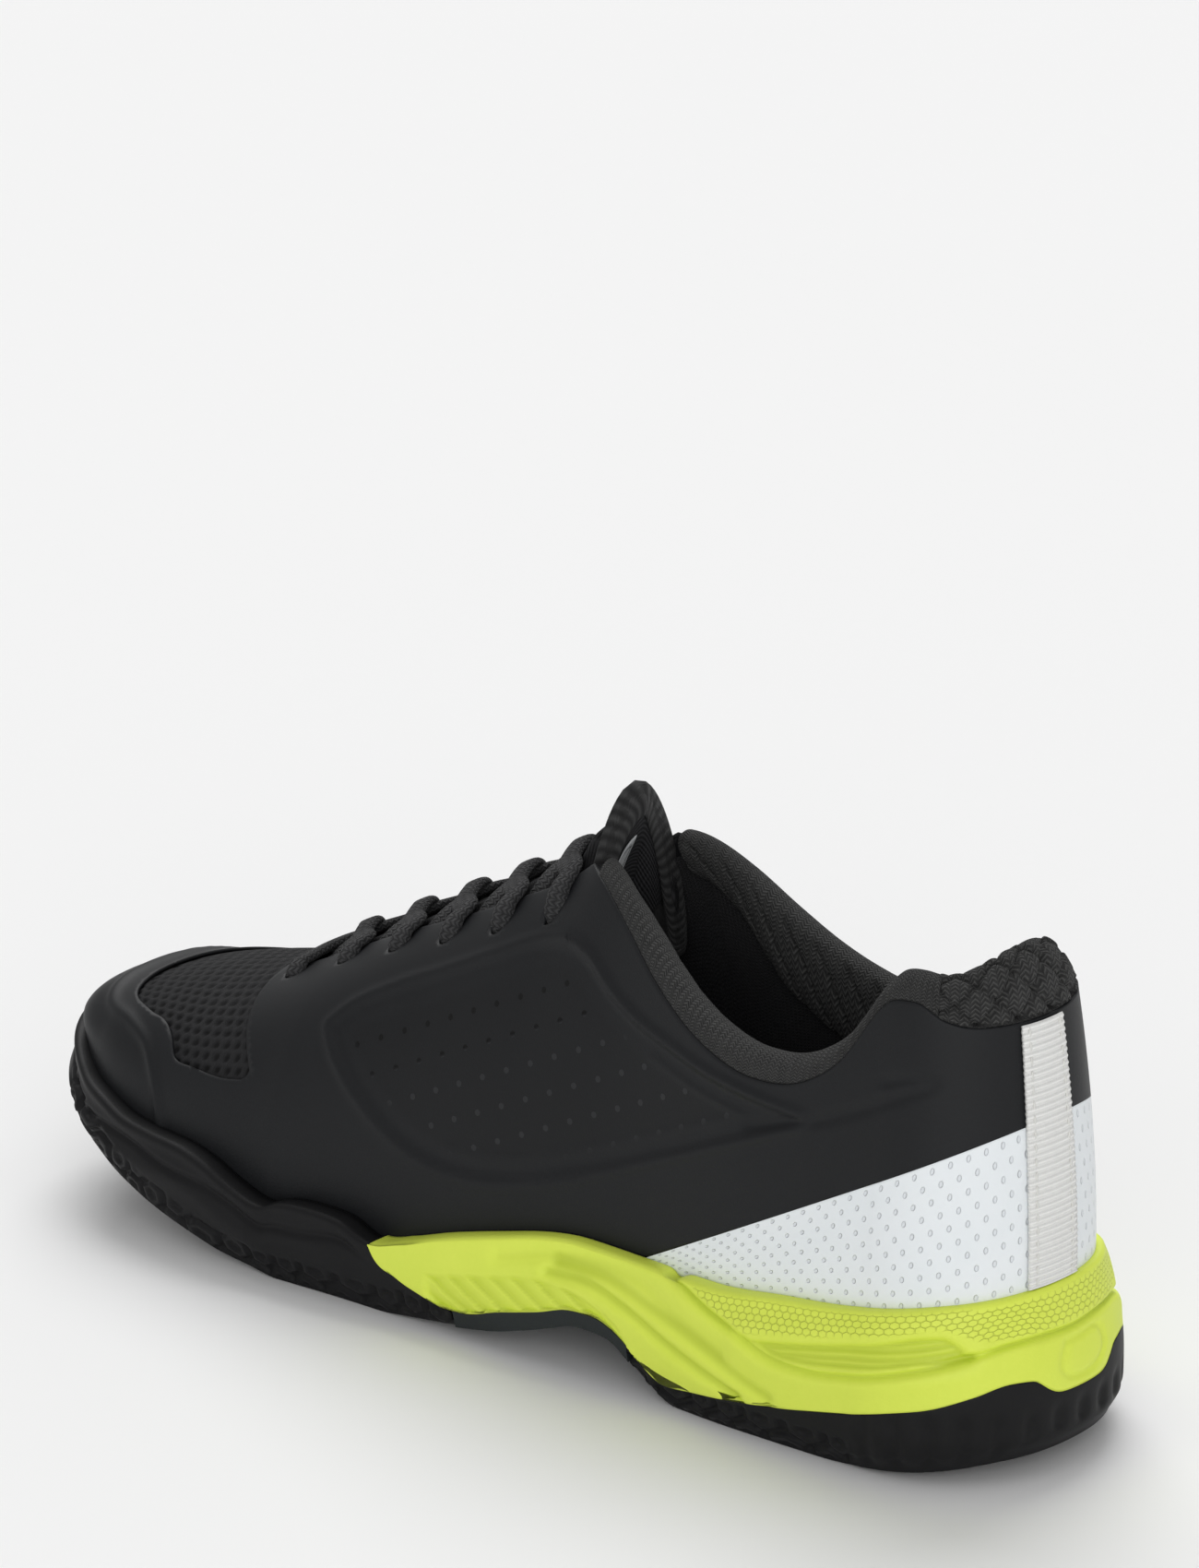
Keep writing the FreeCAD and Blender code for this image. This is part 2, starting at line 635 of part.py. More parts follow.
# each face of a layer: distance below the tongue's outer face, and how much of its swell it has
TONGUE_LAYERS = (((0.0, 1), (TONGUE_SKIN, 1)), ((TONGUE_SKIN + 0.2, 1), (TONGUE_WALL - 1.0, 0)),
                 ((TONGUE_WALL - 0.8, 0), (TONGUE_WALL, 0)))
BINDING_LAYERS = ((-LAYER_GAP, 0), (TONGUE_WALL + LAYER_GAP, 0))
LABEL_LAYERS = ((TONGUE_WALL + 0.2, 0), (TONGUE_WALL + 0.6, 0))
tongue_half = smooth([(118, 14), (124, 15.8), (134, 18), (150, 20), (200, 20),
                      (236, 17), (246, 15)])
tongue_deep = smooth([(118, TONGUE_DEEP), (234, TONGUE_DEEP), (243, LINING[1] + 2.6)])
tongue_high = smooth([(118, TONGUE_DEEP), (126, TONGUE_DEEP - 0.6), (138, TONGUE_HIGH),
                      (226, TONGUE_HIGH), (238, TONGUE_DEEP - 1.5)])


def tongue_skin(x, r, swell):
    """Outer face of the tongue: sunk under the eyestays, and swollen in the throat."""
    edge_r = max(throat_half(x), 8.0)
    u = min(max((edge_r - 1.5 - abs(r)) / 5.5, 0), 1)
    rise = u * u * (3 - 2 * u)
    low = tongue_deep(x)
    high = min(tongue_high(x), low)
    return place_at(x, r, low + (high - low) * rise * swell)


def tongue_layer(layer, x0, x1, share0, share1, trim0, trim1, rows=30, columns=23):
    """Sheet between two distances below the outer face; each side is a share of the half width
    less a trim."""
    step = 0.4 * SX
    grids = [[], []]
    for x in spread(x0, x1, rows):
        half = tongue_half(x)
        rings = ([], [])
        for r in spread(share0 * half - trim0, share1 * half - trim1, columns):
            for ring, (distance, swell) in zip(rings, layer):
                along = tongue_skin(x + step, r, swell) - tongue_skin(x - step, r, swell)
                across = tongue_skin(x, r + step, swell) - tongue_skin(x, r - step, swell)
                normal = across.cross(along)
                normal.normalize()
                ring.append(tongue_skin(x, r, swell) + normal * distance)
        grids[0].append(rings[0])
        grids[1].append(rings[1])
    return grid_solid(*grids)


rim = BINDING_WIDTH + LAYER_GAP
for name, layer in zip(("tongue_mesh", "tongue_pad", "tongue_lining"), TONGUE_LAYERS):
    save(name, tongue_layer(layer, TONGUE_TOP_X + rim, TONGUE_BASE_X, -1, 1, -rim, rim))
bands = [tongue_layer(BINDING_LAYERS, TONGUE_TOP_X, TONGUE_BASE_X, 1, 1, BINDING_WIDTH, 0, 30, 4),
         tongue_layer(BINDING_LAYERS, TONGUE_TOP_X, TONGUE_BASE_X, -1, -1, 0, -BINDING_WIDTH, 30, 4),
         tongue_layer(BINDING_LAYERS, TONGUE_TOP_X, TONGUE_TOP_X + BINDING_WIDTH, -1, 1, -rim, rim,
                      5, 21)]
save("tongue_binding", Part.makeCompound(bands))
save("size_label", tongue_layer(LABEL_LAYERS, TONGUE_TOP_X + 7, TONGUE_TOP_X + 21, 0.15, 0.75,
                                0, 0, 6, 6))


# ---- lace ---------------------------------------------------------------------------
LACE_CROSS_LIFT = LACE_WALL + 0.4


def strap(points):
    """Flat strap along points of (x, signed distance from the ridge, depth)."""
    centre = Part.BSplineCurve()
    centre.interpolate([place_at(*p) for p in points])
    grids = ([], [])
    first, last = centre.FirstParameter, centre.LastParameter
    slope = V(1, 0, -0.55)
    for p in spread(first, last, 40):
        tangent = centre.tangent(p)[0]
        across = slope - tangent * slope.dot(tangent)
        across.normalize()
        normal = tangent.cross(across) * (LACE_WALL / 2)
        for grid, sign in zip(grids, (1, -1)):
            grid.append([centre.value(p) + normal * sign + across * (LACE_WIDTH / 2 * k)
                         for k in (-1, 0, 1)])
    return grid_solid(*grids)


def into_eyelet(x, r, half):
    """Last points of a strap: over the eyestay and down through its hole."""
    sign = 1 if r > 0 else -1
    return [(x, sign * half, LACE_OVER), (x, sign * (abs(r) - 2.0), LACE_OVER - 0.15),
            (x, sign * (abs(r) - 0.3), 0.3), (x, r, 2.2), (x, r, LACE_UNDER - LACE_WALL / 2 - 0.15)]


def out_of_eyelet(x, r, half):
    """First points of a strap: under the eyestay, then up out of the throat."""
    sign = 1 if r > 0 else -1
    return [(x, sign * (abs(r) + 2.2), LACE_UNDER), (x, r, LACE_UNDER),
            (x, sign * (half + 1.0), LACE_UNDER - 0.1)]


medial_holes = eyelet_places(1)
lateral_holes = eyelet_places(-1)
straps = []
x0, r0 = medial_holes[0]
half0 = throat_half(x0)
bar = [(x, -r, d) for x, r, d in reversed(into_eyelet(x0, r0, half0))]
bar += [(x0, -half0 / 2, LACE_OVER), (x0, half0 / 2, LACE_OVER)] + into_eyelet(x0, r0, half0)
straps.append(strap(bar))
for row in range(EYELET_ROWS - 1):
    for start, end, lift_over in ((medial_holes, lateral_holes, 0.0),
                                  (lateral_holes, medial_holes, LACE_CROSS_LIFT)):
        x0, r0 = start[row]
        x1, r1 = end[row + 1]
        a = throat_half(x0)
        b = throat_half(x1)
        sign = 1 if r0 > 0 else -1
        run = out_of_eyelet(x0, r0, a)
        for share, r, depth in ((0.22, a - 3, 3.4), (0.34, a - 7, 0.7),
                                (0.5, 0, LACE_OVER - lift_over), (0.68, -(b - 6), LACE_OVER - 0.1)):
            run.append((x0 + (x1 - x0) * share, sign * r, depth))
        run += into_eyelet(x1, r1, b)
        straps.append(strap(run))
save("shoelace", Part.makeCompound(straps))
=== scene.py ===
# %% [markdown]
# # A court shoe, dressed over its frame
# A court shoe is a stack of skins over a foam sole. The frame holds every piece as a plain
# solid at its true size. Here each piece that shows gets its real surface: knit, film,
# moulded foam and rubber. We load the frame first and measure it, because all the rest is
# placed by it.

# %% Load the frame
import math

import bmesh
import bpy
import numpy as np
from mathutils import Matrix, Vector


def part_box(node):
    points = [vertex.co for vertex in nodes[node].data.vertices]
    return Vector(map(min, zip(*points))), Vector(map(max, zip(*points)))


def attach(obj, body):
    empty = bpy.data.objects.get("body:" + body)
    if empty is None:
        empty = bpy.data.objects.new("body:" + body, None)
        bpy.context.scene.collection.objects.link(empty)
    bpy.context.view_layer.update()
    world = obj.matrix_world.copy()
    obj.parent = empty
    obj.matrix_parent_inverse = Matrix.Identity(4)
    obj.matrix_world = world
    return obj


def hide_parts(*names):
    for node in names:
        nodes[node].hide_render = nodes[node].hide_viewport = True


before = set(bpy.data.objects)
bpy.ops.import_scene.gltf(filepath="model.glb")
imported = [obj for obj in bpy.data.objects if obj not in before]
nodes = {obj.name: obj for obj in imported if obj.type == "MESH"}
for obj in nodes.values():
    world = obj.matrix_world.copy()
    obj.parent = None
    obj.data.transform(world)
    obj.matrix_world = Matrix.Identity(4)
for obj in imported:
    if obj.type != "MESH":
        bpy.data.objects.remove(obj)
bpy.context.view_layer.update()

# %% [markdown]
# The camera stands far off beside the heel, a little above the collar, with a long lens, so
# that the sole's lines stay nearly parallel. Making it first lets every later step be looked
# at. The lights are broad and soft, as in a studio tent, so that black film shows its shape.

# %% Camera and lights
scene = bpy.context.scene
camera = bpy.data.objects.new("camera", bpy.data.cameras.new("camera"))
scene.collection.objects.link(camera)
camera.location = (-0.88619, 0.99429, 0.57341)
sight = Vector((-0.00559, 0.0015, 0.12742)) - camera.location
camera.rotation_euler = sight.to_track_quat("-Z", "Y").to_euler()
camera.data.lens = 138.35
camera.data.clip_end = 50
scene.camera = camera
scene.view_settings.view_transform = "Standard"
SHOE_MIDDLE = Vector((0, 0, 0.05))


def soft_light(name, place, spread, strength):
    """Broad far light, as through the cloth of a tent, that looks at the middle of the shoe."""
    light = bpy.data.lights.new(name, "SUN")
    light.angle, light.energy = math.radians(spread), strength
    lamp = bpy.data.objects.new(name, light)
    lamp.location = place
    lamp.rotation_euler = (SHOE_MIDDLE - lamp.location).to_track_quat("-Z", "Y").to_euler()
    scene.collection.objects.link(lamp)
    print(name, "energy", strength, "spread", spread, "degrees")


soft_light("light_key", (0.6, -0.7, 1.2), 40, 1.66)
soft_light("light_top", (0.1, -0.2, 1.5), 70, 0.3)
soft_light("light_fill", (-1.2, 1.3, 0.4), 60, 1.4)
world = bpy.data.worlds.new("tent")
world.use_nodes = True
world.node_tree.nodes["Background"].inputs["Color"].default_value = (1, 1, 1, 1)
world.node_tree.nodes["Background"].inputs["Strength"].default_value = 0.41
scene.world = world

# %% [markdown]
# ## Shader maths
# A pattern is a sum: a sine across the ribs, plus a little noise. Writing it as a Python
# expression is easier to read than wiring Math nodes by hand, so `Wire` wraps a socket and
# turns `+`, `-`, `*`, `/`, `<` and `>` into nodes. `Finish` holds one material being made.

# %% Wire and Finish


class Wire:
    """A node's output that can be reckoned with."""

    def __init__(self, finish, socket):
        self.finish, self.socket = finish, socket

    def math(self, kind, *others):
        return self.finish.node("Math", {"operation": kind}, (self, *others))

    def turned(self, kind, other):
        return self.finish.node("Math", {"operation": kind}, (other, self))

    def __add__(self, o): return self.math("ADD", o)
    def __radd__(self, o): return self.math("ADD", o)
    def __sub__(self, o): return self.math("SUBTRACT", o)
    def __rsub__(self, o): return self.turned("SUBTRACT", o)
    def __mul__(self, o): return self.math("MULTIPLY", o)
    def __rmul__(self, o): return self.math("MULTIPLY", o)
    def __truediv__(self, o): return self.math("DIVIDE", o)
    def __lt__(self, o): return self.math("LESS_THAN", o)
    def __gt__(self, o): return self.math("GREATER_THAN", o)

    def wave(self, pitch):
        """1 on every pitch, 0 half way between."""
        return (self * (2 * math.pi / pitch)).math("COSINE") * 0.5 + 0.5

    def cell(self, pitch):
        """Place within a repeat, from -0.5 to 0.5."""
        return (self / pitch).math("FRACT") - 0.5

    def ramp(self, start, stop):
        """0 before start, 1 after stop."""
        return self.finish.node("MapRange", {"interpolation_type": "SMOOTHSTEP"},
                                (self, start, stop, 0.0, 1.0))


class Finish:
    """A material: its shader, and one way to add any other node."""

    def __init__(self, name, colour, roughness, **fixed):
        self.material = bpy.data.materials.new(name)
        self.material.use_nodes = True
        self.tree = self.material.node_tree
        self.shader = self.tree.nodes["Principled BSDF"]
        self.shader.inputs["Base Color"].default_value = (*colour, 1)
        self.shader.inputs["Roughness"].default_value = roughness
        self.material.diffuse_color = (*colour, 1)
        for socket, value in fixed.items():
            self.shader.inputs[socket.replace("_", " ")].default_value = value
        print("finish:", name)

    def node(self, kind, settings=None, inputs=(), out=0):
        """Adds a node: its settings first, then the values or links of its sockets."""
        node = self.tree.nodes.new("ShaderNode" + kind)
        for key, value in (settings or {}).items():
            setattr(node, key, value)
        pairs = inputs.items() if isinstance(inputs, dict) else enumerate(inputs)
        for key, value in pairs:
            if isinstance(value, Wire):
                self.tree.links.new(value.socket, node.inputs[key])
            else:
                node.inputs[key].default_value = value
        return Wire(self, node.outputs[out])

    def split(self, vector):
        return [self.node("SeparateXYZ", None, (vector,), out=i) for i in range(3)]

    def place(self):
        """Object coordinates, in metres."""
        return self.node("TexCoord", out=3)

    def cloth(self):
        """Place on the cloth, in millimetres: along, across."""
        return self.node("Attribute", {"attribute_name": "cloth"}, out=1)

    def mask(self, name):
        """A number stored on the piece's corners."""
        return self.node("Attribute", {"attribute_name": name}, out=2)

    def noise(self, scale, detail=2.0):
        return self.node("TexNoise", None,
                         {"Vector": self.place(), "Scale": scale, "Detail": detail})

    def mix(self, share, a, b):
        a, b = [x if isinstance(x, Wire) else (*x, 1) for x in (a, b)]
        return self.node("Mix", {"data_type": "RGBA"}, {0: share, 6: a, 7: b}, out=2)

    def paint(self, socket, wire):
        self.tree.links.new(wire.socket, self.shader.inputs[socket])

    def relief(self, height, millimetres):
        """Bump with a height in millimetres."""
        bump = self.node("Bump", None, {"Strength": 1.0, "Distance": millimetres / 1000,
                                        "Height": height})
        self.paint("Normal", bump)
        return self


# %% [markdown]
# ## The surface of the last
# All sheets of the upper follow the last, at another depth. The frame's solids come from
# the same curves, so the same curves are set down here once: how the section's foot, width
# and crest change along the shoe. Lengths in these curves are millimetres, with x = 0 at
# the back of the sole, because shoe drawings are made that way.

# %% Curves along the shoe
HEEL_X, BALL_X, TOE_X, HEEL_BACK = 36.0, 212.0, 295.0, 6.0
THROAT_END_X, THROAT_ROUND = 240.0, 12.5
BALL_HALF, HEEL_HALF, ANKLE = 45.5, 32.0, 104.5
TOE_POWER, HEEL_POWER = 2.35, 2.15


def rail(*knots):
    """A smooth curve through knots that never overshoots them."""
    xs, ys = np.array(knots, float).T
    d = np.diff(ys) / np.diff(xs)
    m = np.r_[d[0], np.where(d[:-1] * d[1:] > 0, (d[:-1] + d[1:]) / 2, 0.0), d[-1]]
    for i, slope in enumerate(d):
        if slope == 0:
            m[i] = m[i + 1] = 0.0
        else:
            size = math.hypot(m[i] / slope, m[i + 1] / slope)
            if size > 3:
                m[i : i + 2] *= 3 / size

    def value(x):
        x = np.clip(x, xs[0], xs[-1])
        i = np.clip(np.searchsorted(xs, x, "right") - 1, 0, len(d) - 1)
        h = xs[i + 1] - xs[i]
        t = (x - xs[i]) / h
        return ((2 * t**3 - 3 * t * t + 1) * ys[i] + (t**3 - 2 * t * t + t) * h * m[i]
                + (3 * t * t - 2 * t**3) * ys[i + 1] + (t**3 - t * t) * h * m[i + 1])
    return value


bend = rail((0, 0), (100, -1), (150, -2.5), (210, -3.5), (250, 0.5), (280, 6), (300, 9))
waist = rail((36, 1.0), (70, 0.99), (110, 0.92), (150, 0.97), (185, 0.98), (212, 1.0))
feather = rail((0, 30), (40, 26), (100, 24), (150, 16), (175, 12.5), (200, 12), (240, 16.5),
               (258, 21.5), (270, 26.5), (282, 32), (300, 38))
ridge = rail((36, 185), (70, 178), (100, 152), (115, 137), (128, 126.5), (141, 114.5), (158, 104),
             (174, 95), (192, 86), (213, 75), (230, 66.5), (245, 61.5), (262, 57.5), (278, 53),
             (288, 48), (295, 41))
bulge = rail((0, 0.13), (60, 0.08), (110, 0.03), (150, 0.0), (200, 0.04), (250, 0.10), (300, 0.1))
shoulder = rail((0, 0.35), (110, 0.42), (150, 0.52), (200, 0.58), (250, 0.62), (280, 0.7),
                (300, 0.7))
crown = rail((0, 0.42), (40, 0.45), (75, 0.55), (110, 0.58), (133, 0.66), (150, 0.7), (200, 0.72),
             (250, 0.76), (280, 0.84), (300, 0.85))
collar_line = rail((0, 0), (16, 0), (22, 1.5), (29, 5), (34, 4.5), (38, 1), (42, -5.5),
                   (46, -11.5), (54, -18), (62, -21), (70, -21.5), (81, -19.5), (92, -15),
                   (103, -8), (114, 0.5), (125, 7.5), (133, 10))
throat_line = rail((0, 10), (110, 13), (133, 14.5), (150, 14.5), (190, 13.5), (240, 12.5))
rim_line = rail((0, 44), (8, 43), (16, 41.8), (27, 39.7), (42, 36.9), (57, 35.2), (76, 33),
                (98, 32.8), (115, 32.9), (125, 32), (140, 28.6), (155, 24.5), (166, 20.7),
                (175, 18.3), (185, 21.5), (194, 22), (203, 21.3), (208.5, 19.4), (213, 20.2),
                (220, 22.6), (227, 25.6), (234, 27.5), (246, 28.4), (256, 29.2), (265, 31.3),
                (273, 33.0), (279, 35.4), (287, 38.2), (300, 40.5))
ground = rail((0, 9.5), (5, 6.3), (11, 5), (19, 3), (32, 1), (45, 0), (84, 0), (90, 1), (95, 5),
              (99.5, 10), (104.5, 13), (112, 13.5), (125, 9.5), (137.5, 5.5), (151, 3),
              (163, 1.4), (176, 0), (206, 0), (213, 1.2), (225, 3), (237, 7), (248, 11),
              (258, 14.5), (266, 18), (274, 21.5), (282, 25.5), (292, 28.5), (300, 30))
foam = rail((-6, 19.5), (-1, 20.2), (1, 24.6), (3, 24.9), (8, 22.8), (15, 20), (23.5, 17.9),
            (38, 14.2), (54.5, 10.9), (69.4, 8.5), (79, 7.3), (88, 6.2), (94.5, 10.2),
            (100.8, 14.6), (109, 17.2), (114.6, 17.1), (125, 14), (136.6, 10.9), (148, 7.6),
            (152, 7.6), (159, 9.7), (166, 12.1), (175, 18.4), (178, 30))
flare = rail((-2, 5.0), (0, 5.0), (12, 7.5), (24, 7.0), (34, 4.5), (46, 1.8), (52, 1.6))
print("ridge over the ball:", float(ridge(BALL_X)), "mm, foam's edge at the heel:",
      float(foam(HEEL_X)), "mm")

# %% [markdown]
# A section of the upper is half an arch. It starts at the lower edge, bulges to a shoulder
# and closes on the ridge, as a Bezier curve of four points whose share v runs from 0 to 1.
# Round the heel the sections fan out about one axis, and at the toe they shrink to nothing.

# %% Sections of the upper


def outline(s, depth=0.0):
    """Station s: x of its axis, its direction, and the distance to the lower edge."""
    t = np.abs(s)
    angle = np.where(t < 1, math.pi - math.pi / 2 * t, math.pi / 2)
    front = BALL_X + (TOE_X - depth - 0.6 - BALL_X) * np.sin(np.clip(t - 2, 0, 1) * math.pi / 2)
    x = np.where(t <= 2, HEEL_X + (BALL_X - HEEL_X) * np.clip(t - 1, 0, 1), front)
    along = np.clip((x - HEEL_X) / (BALL_X - HEEL_X), 0, 1)
    wide = (HEEL_HALF + (BALL_HALF - HEEL_HALF) * along) * waist(x) - depth
    u = np.clip((x - BALL_X) / (TOE_X - depth - BALL_X), 0, 1)
    w = np.where(x <= BALL_X, wide, (BALL_HALF - depth) * np.sqrt(1 - u**TOE_POWER))
    back = (np.abs(np.cos(angle)) / (HEEL_X - HEEL_BACK - depth)) ** HEEL_POWER
    fan = (back + (np.abs(np.sin(angle)) / (HEEL_HALF - depth)) ** HEEL_POWER) ** (-1 / HEEL_POWER)
    return x, angle, np.where(t < 1, fan, w)


def section(s, v, depth=0.0):
    """Axis, direction, distance from it and height at share v of a station's arch."""
    x, angle, w = outline(s, depth)
    foot = x + w * np.cos(angle)
    low, top = feather(foot), ridge(x) - depth
    wide = (w + depth) * (1 + bulge(foot)) - depth
    a, b, c, d = (1 - v) ** 3, 3 * (1 - v) ** 2 * v, 3 * (1 - v) * v * v, v**3
    r = a * w + b * wide + c * crown(foot) * w
    z = a * low + b * (low + shoulder(foot) * (top - low)) + (c + d) * top
    return x, angle, r, z


def skin(s, v, depth=0.0):
    """Point of the upper, a depth below its outside."""
    x, angle, r, z = section(s, v, depth)
    px = x + r * np.cos(angle)
    return np.stack([px, r * np.sin(angle) * np.where(s < 0, -1, 1) + bend(px), z], -1)


def throat_half(x):
    """Half the throat's width at x, with a round front end."""
    into = np.clip(THROAT_END_X - x, 0, None)
    short = THROAT_ROUND - np.minimum(into, THROAT_ROUND)
    arc = np.sqrt(np.clip(THROAT_ROUND**2 - short**2, 0, None))
    return np.minimum(throat_line(x), np.where(into < THROAT_ROUND, arc, 99)) * (x < THROAT_END_X)


def bisect(inside, shape):
    """The largest share from 0 to 1 that is still inside."""
    low, high = np.zeros(shape), np.ones(shape)
    for _ in range(30):
        mid = (low + high) / 2
        ok = inside(mid)
        low, high = np.where(ok, mid, low), np.where(ok, high, mid)
    return low


def edge(s, depth=0.0):
    """Share of the arch at which the upper ends, at the collar or the throat."""
    def below(v):
        x, angle, r, z = section(s, v, depth)
        here = x + r * np.cos(angle)
        return ((z < ANKLE + collar_line(here)) & (r > throat_half(here))) | (x >= THROAT_END_X)
    return bisect(below, np.shape(s))


def sole_wall(s, z, extra=0.0):
    """Outer wall of the sole at station s and height z."""
    x, angle, w = outline(s)
    t = np.abs(s)
    near = 1 - np.clip(t - 2, 0, 1) ** 4
    r = w + (flare(z) + extra) * near
    px = x + r * np.cos(angle) + np.clip(t - 2, 0, 1) ** 3 * (5.0 + extra)
    return np.stack([px, r * np.sin(angle) * np.where(s < 0, -1, 1) + bend(px), z], -1)


def s_at(x):
    """Station at x, from the side of the heel to the toe."""
    toe = 2 + np.arcsin(np.clip((x - BALL_X) / (TOE_X - 0.6 - BALL_X), 0, 1)) * 2 / math.pi
    return np.where(x <= BALL_X, 1 + (x - HEEL_X) / (BALL_X - HEEL_X), toe)


def at(x, r, depth=0.0):
    """Point of the upper at x and a signed distance r from the ridge."""
    s = s_at(x) * np.where(r < 0, -1, 1)
    v = bisect(lambda v: section(s, v, depth)[2] > np.abs(r), np.broadcast(x, r, depth).shape)
    return skin(s, v, depth)


HOME = np.array([-150.0, -float(bend(BALL_X)), 0.0])   # the frame's origin: middle of the sole
stations = np.linspace(0, 3, 3001)
rim_x, rim_angle, rim_w = outline(stations)
rim_path = np.stack([rim_x + rim_w * np.cos(rim_angle), rim_w * np.sin(rim_angle)])
rim_run = np.r_[0, np.cumsum(np.hypot(*np.diff(rim_path)))]


def run(s):
    """Distance round the lower edge from the centre back, signed like the station."""
    return np.sign(s) * np.interp(np.abs(s), stations, rim_run)


def walk(u, start, stop):
    """Stations evenly spaced along the lower edge."""
    length = run(start) + (run(stop) - run(start)) * u
    return np.sign(length) * np.interp(np.abs(length), rim_run, stations)


film_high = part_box("quarter_film_medial")[1]
print("skin at the ball:", np.round(skin(np.array(2.0), np.array(0.4)) + HOME, 1),
      "film's box:", [round(v * 1000, 1) for v in film_high])

# %% [markdown]
# ## From a grid to a piece
# Each sheet starts as a bmesh grid. Its corners are carried to the surface, doubles are
# merged where the sheet meets itself, and relief such as quilting is pressed in along the
# normals, the way a mould does it. `cloth` keeps every corner's place on the cloth in
# millimetres, so that a weave follows the piece.

# %% Making pieces


def read(mesh, what="co"):
    data = np.empty(len(mesh.vertices) * 3, np.float32)
    mesh.vertices.foreach_get(what, data)
    return data.reshape(-1, 3).astype(float)


def write(mesh, points):
    mesh.vertices.foreach_set("co", points.astype(np.float32).ravel())
    mesh.update()


def keep(mesh, name, values):
    """Stores a number or a vector for every corner."""
    kind = "FLOAT" if values.ndim == 1 else "FLOAT_VECTOR"
    layer = mesh.attributes.new(name, kind, "POINT")
    layer.data.foreach_set("value" if values.ndim == 1 else "vector",
                           values.astype(np.float32).ravel())


def tidy(mesh, closed):
    """Merges doubles and turns the faces outward."""
    bm = bmesh.new()
    bm.from_mesh(mesh)
    bmesh.ops.remove_doubles(bm, verts=bm.verts, dist=2e-6)
    bmesh.ops.dissolve_degenerate(bm, edges=bm.edges, dist=1e-7)
    if closed:
        ends = [e for e in bm.edges if e.is_boundary]
        if ends:
            bmesh.ops.holes_fill(bm, edges=ends)
        bmesh.ops.recalc_face_normals(bm, faces=bm.faces)
    else:
        facing = 0.0
        for f in bm.faces:
            p = f.calc_center_median()
            facing += f.normal.dot(p - Vector((p.x * 0.8, 0.0, 0.04))) * f.calc_area()
        if facing < 0:
            bmesh.ops.reverse_faces(bm, faces=bm.faces)
    for f in bm.faces:
        f.smooth = True
    bm.to_mesh(mesh)
    bm.free()


def settle(bm, name):
    """Turns a bmesh into an object of the scene."""
    mesh = bpy.data.meshes.new(name)
    bm.to_mesh(mesh)
    bm.free()
    piece = bpy.data.objects.new(name, mesh)
    scene.collection.objects.link(piece)
    return piece


def grid_piece(name, size, place, closed=False, wall=0.0, relief=None):
    """A grid of size (along, across) carried to place(u, v) in millimetres."""
    bm = bmesh.new()
    bmesh.ops.create_grid(bm, x_segments=size[0], y_segments=size[1], size=0.5)
    piece = settle(bm, name)
    mesh = piece.data
    u, v = read(mesh)[:, 0] + 0.5, read(mesh)[:, 1] + 0.5
    write(mesh, (place(u, v) + HOME) / 1000)
    steps = np.linspace(0, 1, 41)
    lattice = place(*[a.ravel() for a in np.meshgrid(steps, steps, indexing="ij")])
    lattice = lattice.reshape(41, 41, 3)
    along = np.linalg.norm(np.diff(lattice, axis=0), axis=-1).sum(0).mean()
    across = np.linalg.norm(np.diff(lattice, axis=1), axis=-1).sum(1).mean()
    keep(mesh, "cloth", np.stack([u * along, v * across, 0 * u], -1))
    tidy(mesh, closed)
    if relief:
        press(piece, relief)
    if wall:
        solid = piece.modifiers.new("wall", "SOLIDIFY")
        solid.thickness, solid.offset, solid.use_even_offset = wall / 1000, -1, False
    return piece


def drawing(mesh):
    """Corners in the drawing's millimetres, and their places on the cloth."""
    cloth = np.empty(len(mesh.vertices) * 3, np.float32)
    mesh.attributes["cloth"].data.foreach_get("vector", cloth)
    return read(mesh) * 1000 - HOME, cloth.reshape(-1, 3).astype(float)


def press(piece, relief):
    """Moves every corner along its normal by relief(points, cloth), in millimetres."""
    points, cloth = drawing(piece.data)
    amount = relief(points, cloth)[:, None]
    write(piece.data, (points + read(piece.data, "normal") * amount + HOME) / 1000)


def cut_hole(piece, inside):
    """Opens a sheet where inside(points) is negative, and draws its rim onto the line."""
    bm = bmesh.new()
    bm.from_mesh(piece.data)
    middles = np.array([f.calc_center_median() for f in bm.faces]) * 1000 - HOME
    gone = [f for f, value in zip(bm.faces, inside(middles)) if value < 0]
    bmesh.ops.delete(bm, geom=gone, context="FACES")
    rim = [v for v in bm.verts if v.is_boundary]
    for _ in range(4):
        points = np.array([v.co for v in rim]) * 1000 - HOME
        value = inside(points)
        slope = np.stack([(inside(points + step) - value) / 0.05
                          for step in np.eye(3) * 0.05], -1)
        normal = np.array([v.normal for v in rim])
        slope -= normal * (slope * normal).sum(-1, keepdims=True)
        size = (slope**2).sum(-1)
        near = (np.abs(value) < 1.6) & (size > 0.05)
        step = -slope * (value * near / np.maximum(size, 0.05))[:, None] / 1000
        for v, move in zip(rim, step):
            v.co += Vector(move)
    bm.to_mesh(piece.data)
    bm.free()


# %% [markdown]
# Outlines such as a pressed panel or a groove are drawn as lines in the side view, through
# a few points in millimetres. The distance of every corner to such a line says how far to
# press it, and whether it lies inside. That needs no extra edges in the grid, and the
# groove's sides come out soft, as a mould leaves them.

# %% Lines drawn on a piece


